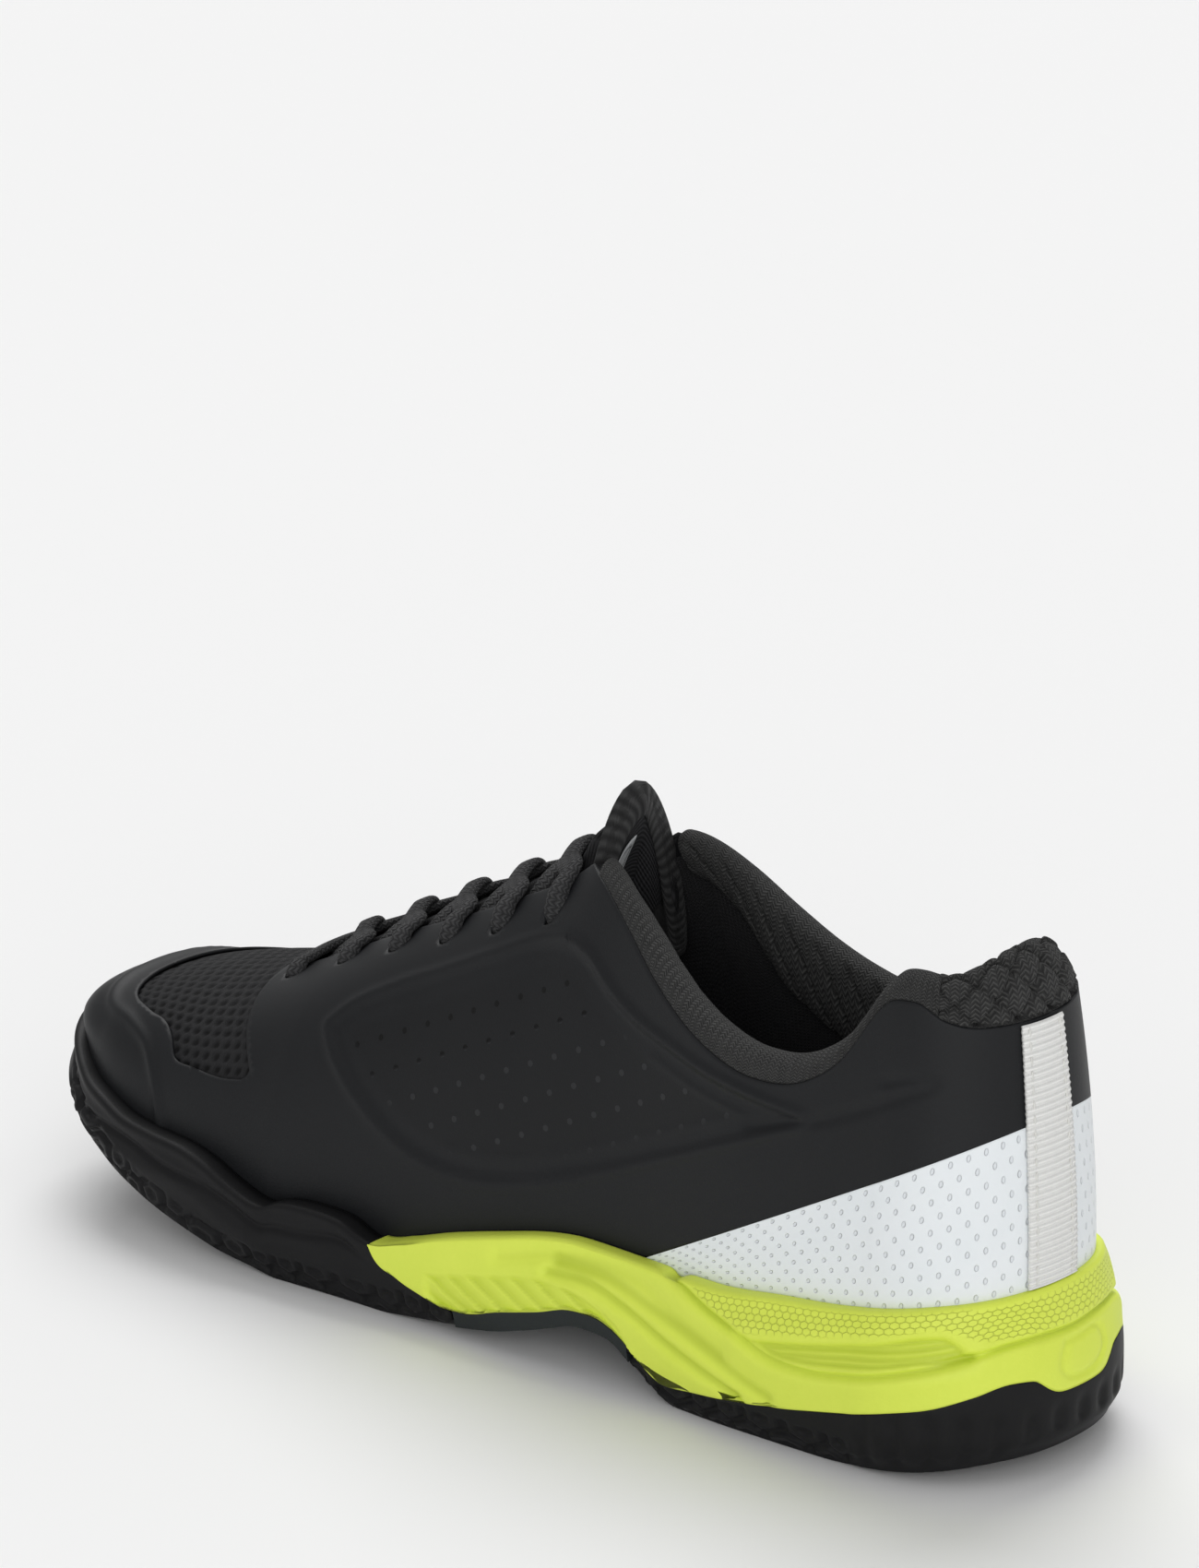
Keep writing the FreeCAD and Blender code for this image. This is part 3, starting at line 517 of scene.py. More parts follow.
def distance(points, line, closed=False):
    """Distance of 2-D points to a line of corners."""
    line = np.array(line, float)
    if closed:
        line = np.vstack([line, line[:1]])
    best = np.full(len(points), 1e9)
    for a, b in zip(line[:-1], line[1:]):
        ab = b - a
        if not ab.any():
            continue
        t = np.clip(((points - a) @ ab) / (ab @ ab), 0, 1)
        best = np.minimum(best, np.linalg.norm(points - a - t[:, None] * ab, axis=-1))
    return best


def signed(points, ring):
    """Distance to a closed ring, negative inside."""
    ring = np.array(ring, float)
    inside = np.zeros(len(points), bool)
    for (ax, ay), (bx, by) in zip(ring, np.roll(ring, -1, 0)):
        cross = (ay > points[:, 1]) != (by > points[:, 1])
        meet = (bx - ax) * (points[:, 1] - ay) / (by - ay + 1e-12) + ax
        inside ^= cross & (points[:, 0] < meet)
    return np.where(inside, -1, 1) * distance(points, ring, closed=True)


def soft(value, start, stop):
    """0 before start, 1 after stop, smooth between."""
    t = np.clip((value - start) / (stop - start), 0, 1)
    return t * t * (3 - 2 * t)


def curve_through(*corners, count=None):
    """Smooth line through a few corners, in 2-D or 3-D."""
    corners = np.array(corners, float)
    far = np.r_[0, np.cumsum(np.linalg.norm(np.diff(corners, axis=0), axis=-1))]
    out = np.linspace(0, far[-1], count or len(corners) * 6)
    slope = np.gradient(corners, far, axis=0)
    i = np.clip(np.searchsorted(far, out, "right") - 1, 0, len(far) - 2)
    h = (far[i + 1] - far[i])[:, None]
    t = (out - far[i])[:, None] / h
    return ((2 * t**3 - 3 * t * t + 1) * corners[i] + (t**3 - 2 * t * t + t) * h * slope[i]
            + (3 * t * t - 2 * t**3) * corners[i + 1] + (t**3 - t * t) * h * slope[i + 1])


# %% Dressing a piece


def dress(piece, finish, body, *replaced, slot=None, fill=None):
    """Gives a piece its finish and its body, and hides the frame's nodes it stands for."""
    piece.data.materials.clear()
    piece.data.materials.append(finish.material)
    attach(piece, body)
    if replaced:
        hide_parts(*replaced)
    print(piece.name, "corners", len(piece.data.vertices), "body", body)
    return piece

# %% [markdown]
# ## Film, mesh and heel panel
# The outer skin is a matte polyurethane film, hot-pressed over the lining, so it has no
# seams: only a raised outline, a row of punched holes and faint raised dots. Its colour is
# darkened in the hollow of the outline as painted shade, and the punched holes are painted
# near black, partly the dark lining under them and partly painted shade. The heel panel is
# the same film in white, with small dimples, which are darkened as painted shade. Both get
# a very fine grain, because a film with no grain looks like wet plastic.

# %% Finishes of the film


def film_finish():
    f = Finish("black_film", (0.011, 0.0115, 0.0125), 0.5, Specular_IOR_Level=0.2)
    x, _, z = f.split(f.place())
    panel = f.mask("panel")
    along = (x * -905.0 + z * 427.0)
    down = (x * 427.0 + z * 905.0)
    row = ((down - 68.45) / 7.6).math("FLOOR")
    a = (along / 7.5 + row * 0.5).math("FRACT") - 0.5
    b = (down - 68.45).cell(7.6)
    dot = ((a * a * 56.0 + b * b * 58.0).math("SQRT") < 0.75) * panel
    high = down.ramp(64.0, 65.0)
    hole, bump = dot * high, dot * (1 - high)
    tone = f.noise(60.0) * 0.6 + f.noise(900.0) * 0.4
    base = f.mix(tone, (0.0085, 0.009, 0.010), (0.014, 0.0148, 0.0165))
    # Painted shade: the colour is darkened inside the recessed panel.
    base = f.mix(panel * 0.35, base, (0.007, 0.0073, 0.008))
    base = f.mix(bump * 0.5, base, (0.035, 0.036, 0.039))
    # The punched holes are painted near black: partly the dark lining under them, partly painted
    # shade in the holes.
    f.paint("Base Color", f.mix(hole, base, (0.002, 0.002, 0.002)))
    f.paint("Roughness", tone * 0.16 + 0.43 - bump * 0.12)
    return f.relief(f.noise(2600.0, 3.0) * 0.05 - hole * 0.5 + bump * 0.12, 1.0)


def white_finish():
    f = Finish("white_film", (0.80, 0.84, 0.86), 0.42, Specular_IOR_Level=0.45)
    tone = f.noise(90.0)
    along, across, _ = f.split(f.cloth())
    row = (across / 2.35).math("FLOOR")
    a = ((along / 4.3 + row * 0.5).math("FRACT") - 0.5) * 4.3
    b = across.cell(2.35) * 2.35
    dip = (1 - (a * a + b * b).math("SQRT").ramp(0.32, 0.62)) * along.ramp(6.5, 7.5)
    base = f.mix(tone, (0.79, 0.835, 0.86), (0.85, 0.88, 0.90))
    # Painted shade: the dimples are darkened in colour as well as pressed in.
    f.paint("Base Color", f.mix(dip * 0.35, base, (0.58, 0.62, 0.66)))
    f.paint("Roughness", tone * 0.12 + 0.36)
    return f.relief(f.noise(1800.0) * 0.02 - dip * 0.3, 1.0)


# %% [markdown]
# The skin is one grid that runs from the toe tip round the heel and back. Its top row is
# the collar's and the throat's edge, and a few more rows turn inward as a lip, which hides
# the layers below. In front of the throat the two halves meet on the ridge and are merged.

# %% The skin
PANEL = curve_through((201.7, 62.6), (198, 66.5), (184.4, 75), (170.9, 81.6), (154.3, 90),
                      (140.5, 96.6), (131, 98.6), (124, 96.5), (117, 91.5), (108, 87), (97.2, 84),
                      (84.8, 81), (70, 79), (54.6, 76.6), (64, 71.8), (74.7, 66.8), (99.7, 55.4),
                      (121.3, 46.1), (139.7, 40), (152, 38.2), (162, 38.4), (173.5, 41.4),
                      (181.2, 45.4), (189.4, 50.9), (196.8, 57.2))
TAIL = curve_through((70, 72), (54.6, 76.4), (37.8, 84), (27, 89.6), (23, 91.6), (26.9, 92.6),
                     (34, 90.8))
TOE_LINE = curve_through((288, 55), (280.7, 50.1), (264.8, 48.1), (257, 45.5), (250.5, 38),
                         (246.2, 24))
WINDOW = curve_through((221.6, 47.5), (222.4, 45.8), (226.3, 44.6), (240.6, 44.3), (246, 44.6),
                       (250.5, 48.5), (254, 50.3), (262, 51.2), (274.4, 52.8), (281, 56),
                       (283, 62), (278, 75), (256, 84), (244, 84), (240.5, 72), (236, 64.5),
                       (229, 56), (223.5, 50), (221.6, 47.5))
LIP, LIP_SHARE = 4.6, 0.06
EYELET_X, EYELET_PITCH, EYELET_PAIRS, EYELET_R, EYELET_INSET = 228.0, 17.4, 6, 2.6, 5.0


def heel_line(x):
    """Height of the white panel's upper line, which falls towards the arch."""
    return 86.0 - 0.543 * x


def line_share(s):
    """Share of the height at which the skin crosses the heel panel's upper line."""
    def under(v):
        x, angle, r, z = section(s, v)
        return z < heel_line(x + r * np.cos(angle))
    return bisect(under, np.shape(s))


def eyelet(row, side):
    """x of a lace hole, and its signed distance from the ridge."""
    x = EYELET_X - EYELET_PITCH * row
    return x, side * (float(throat_half(np.array(x))) + EYELET_INSET)


def skin_place(u, v):
    """Round the shoe in u, closing in over the toe, and from panel or foot to edge in v."""
    s = walk(np.clip((u - 0.012) / 0.976, 0, 1), -3, 3)
    nose = 1 - np.clip(np.minimum(u, 1 - u) / 0.012, 0, 1)
    turn = np.clip((v - 1 + LIP_SHARE) / LIP_SHARE, 0, 1)
    x = section(s, np.zeros_like(s))[0]
    depth = LIP * turn**1.5 * (x < THROAT_END_X - 0.5)
    low, top = line_share(s), edge(s, depth)
    share = np.minimum(v / (1 - LIP_SHARE), 1)
    out = skin(s, np.minimum(low, top) * (1 - share) + top * share, depth)
    middle = bend(out[:, 0])
    out[:, 1] = middle + (out[:, 1] - middle) * np.sqrt(1 - nose**2)
    out[:, 0] += 1.2 * nose * (1 - share)
    return out


def skin_relief(points, cloth):
    """The pressed panel with its bead, the tail behind it, and the toe's raised line."""
    side = points[:, [0, 2]]
    to_panel = signed(side, PANEL)
    bead = np.exp(-((to_panel - 0.4) / 1.2) ** 2) * 0.7
    inner = np.exp(-((to_panel + 5.4) / 0.9) ** 2) * 0.28
    inner *= side[:, 1] < 0.62 * (230 - side[:, 0])
    recess = -0.6 * soft(-to_panel, 0.0, 2.4)
    tail = -0.55 * np.exp(-(distance(side, TAIL) / 1.5) ** 2)
    toe = distance(side, TOE_LINE)
    rise = np.exp(-((toe / 1.2) ** 2)) * 0.8 * (side[:, 0] < 286)
    cap = 2.4 * soft(points[:, 0], 274, 290) * soft(points[:, 2], 36, 44)
    return bead + inner + recess + tail + rise + cap


skin_piece = grid_piece("upper_skin", (540, 74), skin_place, wall=0.75, relief=skin_relief)
cut_hole(skin_piece, lambda p: signed(p[:, [0, 2]], WINDOW))
for row in range(EYELET_PAIRS):
    for side in (1, -1):
        x, reach = (np.array([value]) for value in eyelet(row, side))
        centre = at(x, reach)[0]
        axis = at(x, reach, 8.0)[0] - centre
        axis /= np.linalg.norm(axis)

        def from_rim(p, centre=centre, axis=axis):
            deep = (p - centre) @ axis
            off = np.linalg.norm((p - centre) - deep[:, None] * axis, axis=-1)
            return off - EYELET_R + 99 * (np.abs(deep) > 4)
        cut_hole(skin_piece, from_rim)
points, _ = drawing(skin_piece.data)
keep(skin_piece.data, "panel", soft(-signed(points[:, [0, 2]], PANEL), 4.5, 7.5))
dress(skin_piece, film_finish(), "shoe", "quarter_film_medial", "quarter_film_lateral",
      "toe_wrap", slot="film")

# %% The white heel panels


white = white_finish()
for name, side in (("medial", 1), ("lateral", -1)):
    def panel_place(u, v, side=side):
        s = walk(u, 0.006, 1.40)
        return skin(s * side, line_share(s) * v)
    panel = grid_piece("heel_panel_skin_" + name, (230, 110), panel_place, wall=0.75)
    dress(panel, white, "shoe", "heel_panel_" + name, slot="white_film")

# %% [markdown]
# ## The vamp's mesh
# Over the toes the film leaves a window, and an open sandwich mesh shows through it. Its
# honeycomb is pressed into the grid itself, so that it catches light at its edges, and the
# holes are darkened in the finish with the same numbers: partly the dark lining behind them,
# partly painted shade.

# %% Mesh


def honeycomb(a, b, pitch):
    """0 at the walls of a honeycomb, growing to the middle of each cell."""
    best = np.full(np.shape(a), 9.0)
    for da, db in ((0.0, 0.0), (0.5, math.sqrt(3) / 2)):
        x = (a / pitch + da) % 1 - 0.5
        y = (b / pitch + db) % math.sqrt(3) - math.sqrt(3) / 2
        far = np.maximum(np.abs(x), np.abs(x) / 2 + np.abs(y) * math.sqrt(3) / 2)
        best = np.minimum(best, far)
    return 0.5 - best


def mesh_finish():
    f = Finish("open_mesh", (0.012, 0.012, 0.013), 0.8, Specular_IOR_Level=0.15)
    hole = f.mask("hole")
    a, b, _ = f.split(f.cloth())
    yarn = (a + b * 0.6).wave(0.42) * 0.5 + (a - b * 0.6).wave(0.42) * 0.5
    base = f.mix(yarn * (1 - hole), (0.009, 0.009, 0.0095), (0.034, 0.034, 0.036))
    # The mesh's holes are painted near black: partly the dark lining behind, partly painted shade
    # in them.
    f.paint("Base Color", f.mix(hole, base, (0.003, 0.003, 0.003)))
    f.paint("Roughness", yarn * 0.2 + 0.65)
    return f.relief(yarn * 0.12, 1.0)


MESH_PITCH, VAMP_START, VAMP_LENGTH = 3.6, 213.0, 72.0


def vamp_place(u, v):
    s, r = s_at(VAMP_START + VAMP_LENGTH * u), 2 * v - 1
    return skin(np.where(r < 0, -s, s), 1 - np.abs(r), 1.0)


vamp = grid_piece("vamp_mesh_knit", (130, 200), vamp_place, wall=0.8)
cut_hole(vamp, lambda p: np.where(p[:, 0] < THROAT_END_X, np.abs(p[:, 1] - bend(p[:, 0]))
                                  - throat_half(p[:, 0]), 9.0))
points, cloth = drawing(vamp.data)
comb = honeycomb(cloth[:, 0], cloth[:, 1], MESH_PITCH)
# The hole mask carries the holes' near-black colour, partly painted shade.
keep(vamp.data, "hole", soft(comb, 0.2, 0.34) * 0.6)
press(vamp, lambda p, c: -0.45 * soft(comb, 0.12, 0.3))
dress(vamp, mesh_finish(), "shoe", "vamp_mesh", slot="mesh")

# %% [markdown]
# ## The sole
# A court shoe's sole is a foam wedge under the heel, dark rubber where it rubs the ground,
# and a rubber wall round the forefoot for sideways stops. Each part is a tube: its section
# runs down the wall, across and back, so the piece is closed. Grooves and bands are drawn
# on the wall by distance from the heel and height, and pressed in.

# %% Sole sections
WALL_TURNS = [0, 0.66, 0.72, 0.97, 1.0]     # foot, rim, inner rim, inner foot, and back
TREAD_HALF = 0.25                           # share of the tread's round under the shoe
FOAM_OVER = 0.15                            # the foam's edge over the rubber's


def wall_ring(s, v, low, high, inset):
    """Section of a side wall: up the outside, over the top, down the inside, and back."""
    z = low + (high - low) * np.interp(v, WALL_TURNS, [0, 1, 1, 0, 0])
    outside = sole_wall(s, z)
    x, angle, w = outline(s)
    inward = np.stack([x + (w + inset) * np.cos(angle),
                       (w + inset) * np.sin(angle) * np.where(s < 0, -1, 1)
                       + bend(x + w * np.cos(angle)), z], -1)
    share = np.interp(v, WALL_TURNS, [0, 0, 1, 1, 0])[:, None]
    corner = 0.9 * np.exp(-((v - 0.655) / 0.012) ** 2) + 0.5 * np.exp(-(v / 0.015) ** 2)
    out = outside * (1 - share) + inward * share
    out[:, 2] -= corner * 0.6
    return out


def tread_ring(u, v, start, stop, top):
    """Section of an outsole: down one wall, across the ground, up the other, and across."""
    s = walk(u, start, stop)
    side = np.where(v < 0.5, -1, 1)
    x, angle, w = outline(s)
    foot = x + w * np.cos(angle)
    low, high = np.maximum(ground(foot), 0), top(foot, sole_wall(s * side, 20.0 + 0 * s)[:, 0])
    half = 0.5 - np.abs(v - 0.5)
    rise = np.clip(1 - (half - 0.04) / (TREAD_HALF - 0.04), 0, 1)
    z = low + np.maximum(high - low, 0.2) * rise
    wall = sole_wall(s * side, z, -1.2 * (1 - soft(half, TREAD_HALF, 0.19)))
    near = np.clip((half - TREAD_HALF) / TREAD_HALF, 0, 1)
    middle = wall.copy()
    middle[:, 1] = bend(wall[:, 0])
    out = wall * (1 - near[:, None]) + middle * near[:, None]
    closing = 3 * np.clip((np.abs(v - 0.5) - 0.46) / 0.04, 0, 1)
    inward, down, across = [np.clip(closing - step, 0, 1) for step in (0, 1, 2)]
    out += (sole_wall(s * side, z, -6.0) - sole_wall(s * side, z, 0.0)) * inward[:, None]
    out[:, 2] -= (high - np.minimum(low + 4, high)) * down
    out[:, 1] += (bend(out[:, 0]) - out[:, 1]) * across
    return out


def foam_relief(points, cloth):
    """What the mould leaves on the foam: ribbed insert, grooves, flutes and heel patch."""
    signed_run, z = sole_places(points, True)
    p = np.stack([np.abs(signed_run), z], -1)
    d = np.zeros(len(p))
    insert = signed(p, INSERT)
    d -= 1.5 * soft(-insert, 0.0, 1.2)
    ribs = 0.5 + 0.5 * np.cos((p[:, 1] - 0.22 * (100 - p[:, 0])) * 2 * math.pi / 1.9)
    d += 0.5 * ribs * soft(-insert, 1.0, 2.0)
    for line, depth, width in FOAM_LINES:
        d -= 1.6 * depth * np.exp(-(distance(p, line) / width) ** 2)
    flutes = signed(p, FLUTE_FIELD)
    wave = ((p[:, 0] - 1.55 * p[:, 1]) / 8.2) % 1
    d -= (0.3 + 0.9 * wave) * soft(-flutes, 0.0, 2.0)
    d += 0.5 * np.exp(-((insert - 2.6) / 2.4) ** 2)
    patch = 0.8 * signed(np.stack([signed_run, z], -1), PATCH)
    d -= 0.7 * np.exp(-(patch / 0.55) ** 2)
    return d


def sole_places(points, both=False):
    """Distance round the wall from the centre back, and height, of points on the wall."""
    x, y, z = points.T
    side = y - bend(x)
    fan = np.arctan2(np.abs(side), HEEL_X - x)
    s = np.where(x < HEEL_X, fan / (math.pi / 2), s_at(x))
    return run(s) * (np.where(side < 0, -1, 1) if both else 1), z


INSERT = curve_through((77.3, 24.8), (60.2, 28.3), (45.5, 32), (33, 35.6), (29.5, 35.8),
                       (24.5, 31.6), (35.8, 28.2), (47.5, 24.8), (60.2, 22.4), (70, 22.2),
                       (77.3, 24.8))
FLUTE_FIELD = curve_through((172, 15.5), (154.2, 19.7), (136.2, 22.8), (127.7, 22), (118.8, 19.4),
                            (112, 14), (125, 8), (150, 4), (172, 10), (172, 15.5))
PATCH = curve_through((3.1, 30.4), (-1, 30.6), (-7.3, 30.4), (-7.6, 25), (-6, 23.6), (4.4, 23.8),
                      (5, 25), (3.1, 30.4))
FOAM_LINES = [
    (curve_through((109.3, 36), (101.5, 33), (90, 28.4), (79.6, 25), (71, 22.0), (60.2, 21.4),
                   (47.5, 23.6), (35.8, 27.4), (24.5, 31.0)), 1.0, 0.9),
    (curve_through((24.5, 31.2), (17.2, 32.7), (8.3, 33.3), (-1, 33), (-12, 32.4)), 0.9, 0.7),
    (curve_through((136.2, 24.4), (124.9, 24.6), (112.8, 21.4), (100.6, 16.8), (88.7, 12.9),
                   (79.1, 9.9)), 0.8, 1.5),
    (curve_through((133.8, 27.5), (119.5, 27.2), (104, 23.4), (88.9, 18.7), (77.5, 14.2),
                   (70.6, 12)), 0.7, 1.8),
    (curve_through((150, 25), (136, 28.6), (121, 30), (110, 29), (98, 24.5), (84, 19.5)), 0.5, 2.2),
]

# %% Foam and rubber finishes


def foam_finish():
    f = Finish("lime_foam", (0.72, 0.84, 0.09), 0.55, Specular_IOR_Level=0.4)
    tone = f.noise(70.0) * 0.6 + f.noise(700.0) * 0.4
    base = f.mix(tone, (0.68, 0.81, 0.075), (0.77, 0.875, 0.11))
    # Painted shade: the foam is painted darker wherever the mould presses it in, by the groove
    # mask.
    f.paint("Base Color", f.mix(f.mask("groove") * 0.6, base, (0.42, 0.52, 0.02)))
    f.paint("Roughness", tone * 0.15 + 0.45)
    comb = f.mask("comb")
    a, b, _ = f.split(f.cloth())
    best = None
    for da, db in ((0.0, 0.0), (0.5, 0.5)):
        x = (a / 2.2 + da).math("FRACT") - 0.5
        y = ((b / (2.2 * math.sqrt(3)) + db).math("FRACT") - 0.5) * math.sqrt(3)
        x, y = x.math("ABSOLUTE"), y.math("ABSOLUTE")
        far = x.math("MAXIMUM", x * 0.5 + y * (math.sqrt(3) / 2))
        best = far if best is None else best.math("MINIMUM", far)
    groove = best.ramp(0.42, 0.49) * comb
    return f.relief(f.noise(1500.0, 3.0) * 0.05 - groove * 0.22, 1.0)


def rubber_finish(name, colour, rough):
    f = Finish(name, colour, rough, Specular_IOR_Level=0.16)
    tone = f.noise(50.0, 4.0)
    light = tuple(c * 1.9 for c in colour)
    f.paint("Base Color", f.mix(tone * 0.8, colour, light))
    f.paint("Roughness", tone * 0.25 + (rough - 0.12))
    return f.relief(f.noise(1400.0, 2.0), 0.04)


lime, rubber = foam_finish(), rubber_finish("black_rubber", (0.0065, 0.0065, 0.007), 0.5)
shank = rubber_finish("shank_plastic", (0.016, 0.019, 0.02), 0.4)

# %% The foam midsole


def foam_place(u, v):
    s = walk(u, -1.79, 1.79)
    x, angle, w = outline(s)
    foot = x + w * np.cos(angle)
    low, high = foam(sole_wall(s, 20.0 + 0 * s)[:, 0]), rim_line(foot)
    return wall_ring(s, v, np.minimum(low, high - 0.4), high, 0.2)


midsole = grid_piece("foam_midsole", (460, 76), foam_place, closed=True)
points, _ = drawing(midsole.data)
wall_run, height = sole_places(points)
lower = np.interp(wall_run, [0, 22, 27, 30, 33, 45.5, 60, 77, 90, 101],
                  [34.2, 34.2, 36, 36.9, 36.5, 32.9, 29.2, 25.8, 29.5, 36])
upper = rim_line(points[:, 0] + 5 * (points[:, 0] < 12)) - 1.2
band = soft(height - lower, 0.0, 0.8) * (wall_run < 97) * (1 - soft(height - upper, 0.0, 0.8))
keep(midsole.data, "comb", band)
# The groove mask holds painted shade: it is high wherever foam_relief presses the foam in.
keep(midsole.data, "groove", soft(-foam_relief(points, None), 0.5, 1.6))
press(midsole, foam_relief)
dress(midsole, lime, "shoe", "midsole_foam", slot="lime_foam")

# %% The rubber


def lug_relief(points, cloth):
    """Pockets between the lugs at the foot of the wall, and a pattern underneath."""
    s_run, z = sole_places(points)
    low = np.maximum(ground(points[:, 0]), 0)
    cells = honeycomb(s_run + 2.0 * np.sin(s_run / 7.0), z * 1.25, 9.5)
    zone = soft(z - low, 0.4, 1.4) * (1 - soft(z - low, 6.0, 8.5))
    zone *= soft(s_run, 46, 52) * (1 - soft(s_run, 298, 306))
    d = -1.1 * zone * (1 - soft(cells, 0.05, 0.14)) - 0.7 * zone * soft(cells, 0.27, 0.36)
    flute = (0.5 + 0.5 * np.cos(s_run * 2 * math.pi / 6.4)) ** 2
    d -= 0.9 * flute * (1 - soft(s_run, 42, 50)) * soft(z - low, 0.5, 3) * (1 - soft(z, 14, 19))
    share = cloth[:, 1] / cloth[:, 1].max()
    under = soft((0.5 - np.abs(share - 0.5) - 0.25) / 0.25, 0.14, 0.2)
    tread = honeycomb(points[:, 0], points[:, 1] - bend(points[:, 0]), 9.0)
    return d * (1 - under) - 1.4 * under * (1 - soft(tread, 0.05, 0.12))


def front_relief(points, cloth):
    """The forefoot wall's swell, the line along it, and the lugs below."""
    x, _, z = points.T
    top = rim_line(x)
    line = np.exp(-((z - top + 5.0 + 1.2 * np.sin(x / 6.0)) / 0.8) ** 2)
    ridge_top = np.exp(-((z - top + 1.2) / 1.1) ** 2) * 0.4
    swell = 0.9 * np.exp(-((z - top + 9) / 3.2) ** 2) * soft(x, 176, 190)
    side = (z - np.maximum(ground(x), 0) > 0.3)
    return lug_relief(points, cloth) + (ridge_top + swell - 0.7 * line) * side * soft(x, 172, 184)


def heel_top(foot, outer):
    return foam(outer) - FOAM_OVER


def front_top(foot, outer):
    return np.minimum(rim_line(foot), np.where(outer < 178, foam(outer) - FOAM_OVER, 99))


heel = grid_piece("heel_rubber", (200, 190), lambda u, v: tread_ring(u, v, 0.0, 1.352, heel_top),
                  closed=True, relief=lug_relief)
dress(heel, rubber, "shoe", "heel_outsole", slot="black_rubber")
front = grid_piece("forefoot_rubber", (260, 190),
                   lambda u, v: tread_ring(u, v, 1.6485, 3.0, front_top), closed=True,
                   relief=front_relief)
dress(front, rubber, "shoe", "forefoot_outsole", "forefoot_sidewall", slot="black_rubber")

# %% [markdown]
# ## Knit
# The collar is a padded roll under a dense knit, and the heel tab is the same knit quilted
# in diamonds. A knit reads as rows of little V shapes, so the finish draws chevrons on the
# cloth's own millimetres. The roll's section is one closed curve, and it thins towards the
# laces.

# %% Knit and woven finishes


def knit_finish(name, dark, light, wale, course, depth=0.25, **fixed):
    f = Finish(name, dark, 0.85, Specular_IOR_Level=0.15, Sheen_Weight=0.05, **fixed)
    a, b, _ = f.split(f.cloth())
    zigzag = a.cell(wale).math("ABSOLUTE") * (wale * 1.1)
    stitch = (b + zigzag).wave(course)
    gap = a.cell(wale).math("ABSOLUTE").ramp(0.36, 0.5)
    height = stitch * (1 - gap * 0.7)
    fleck = f.noise(450.0, 3.0)
    f.paint("Base Color", f.mix(height * 0.6 + fleck * 0.5 - 0.05, dark, light))
    f.paint("Roughness", fleck * 0.2 + 0.7)
    return f.relief(height * depth + fleck * 0.1, 1.0)


def ribbed_finish(name, dark, light, pitch, across=False, depth=0.3, rough=0.7):
    """Grosgrain: ribs across a ribbon, with a finer weave in them."""
    f = Finish(name, dark, rough, Specular_IOR_Level=0.15, Sheen_Weight=0.05)
    a, b, _ = f.split(f.cloth())
    if across:
        a, b = b, a
    rib = a.wave(pitch)
    yarn = (b + a * 0.5).wave(pitch * 0.45)
    fleck = f.noise(500.0, 3.0)
    f.paint("Base Color", f.mix(rib * 0.6 + yarn * 0.15 + fleck * 0.25, dark, light))
    f.paint("Roughness", fleck * 0.2 + rough - 0.1)
    return f.relief(rib * depth + yarn * 0.06, 1.0)


knit = knit_finish("collar_knit", (0.010, 0.010, 0.0105), (0.085, 0.085, 0.083), 2.0, 1.2, 0.5)
tongue_rib = ribbed_finish("tongue_binding", (0.007, 0.007, 0.0075), (0.06, 0.06, 0.06), 1.1)
lining_cloth = knit_finish("lining_cloth", (0.006, 0.006, 0.007), (0.03, 0.03, 0.032), 1.2, 0.9)

# %% The collar
ROLL_IN = rail((0, 0.3), (0.09, 0.5), (0.18, 2.1), (0.27, 4.9), (0.36, 7.8), (0.45, 9.3),
               (0.55, 9.4), (0.65, 9.0), (0.76, 7.2), (0.82, 5.6), (0.90, 2.6), (0.96, 0.9),
               (1, 0.3))
ROLL_UP = rail((0, 0.4), (0.09, 4.2), (0.18, 7.9), (0.27, 9.6), (0.36, 8.0), (0.45, 2.8),
               (0.55, -4.5), (0.65, -11), (0.76, -16.5), (0.82, -15), (0.90, -6), (0.96, -0.6),
               (1, 0.4))
roll_rise = rail((0, 18), (8, 17), (16, 12.5), (22, 9.5), (29, 6.5), (42, 6.5), (60, 6.5),
                 (110, 6), (132, 5))
roll_depth = rail((0, 1), (104, 1), (119, 0.76), (132, 0.73))
roll_drop = rail((0, 1), (104, 1), (120, 0.5), (132, 0.4))


def roll_place(u, v, start, stop, flip=1.0, end=True):
    """The padded roll: its section set in from the skin's edge, thinner towards its end."""
    s = walk(u, start, stop) * flip
    share = edge(s)
    seat = skin(s, share)
    up = seat - skin(s, share - 0.06)
    up /= np.linalg.norm(up, axis=-1, keepdims=True)
    angle = outline(s)[1]
    inward = np.stack([-np.cos(angle), -np.sin(angle) * np.where(s < 0, -1, 1), 0 * s], -1)
    inward -= up * (inward * up).sum(-1, keepdims=True)
    inward /= np.linalg.norm(inward, axis=-1, keepdims=True)
    x = seat[:, 0]
    close = 1 - 0.8 * soft(u, 0.975, 1.0) ** 2 if end else 1 + 0 * u
    deep = 4.0 + (ROLL_IN(v) - 4.0) * close
    high = 2.0 + (ROLL_UP(v) - 2.0) * close
    low_side = np.where(s < 0, 1 - 0.75 * soft(x, 12, 20) * (1 - soft(x, 40, 52)), 1.0)
    high = high * np.where(high > 0, roll_rise(x) / 9.6 * low_side, roll_drop(x))
    return seat + inward * (deep * roll_depth(x))[:, None] + up * high[:, None]


def stitched(cloth, pitch, slant, depth, width):
    """Sewn lines across a padded piece."""
    a = ((cloth[:, 0] + slant * cloth[:, 1]) / pitch) % 1 - 0.5
    return -depth * np.exp(-(a * pitch / width) ** 2)


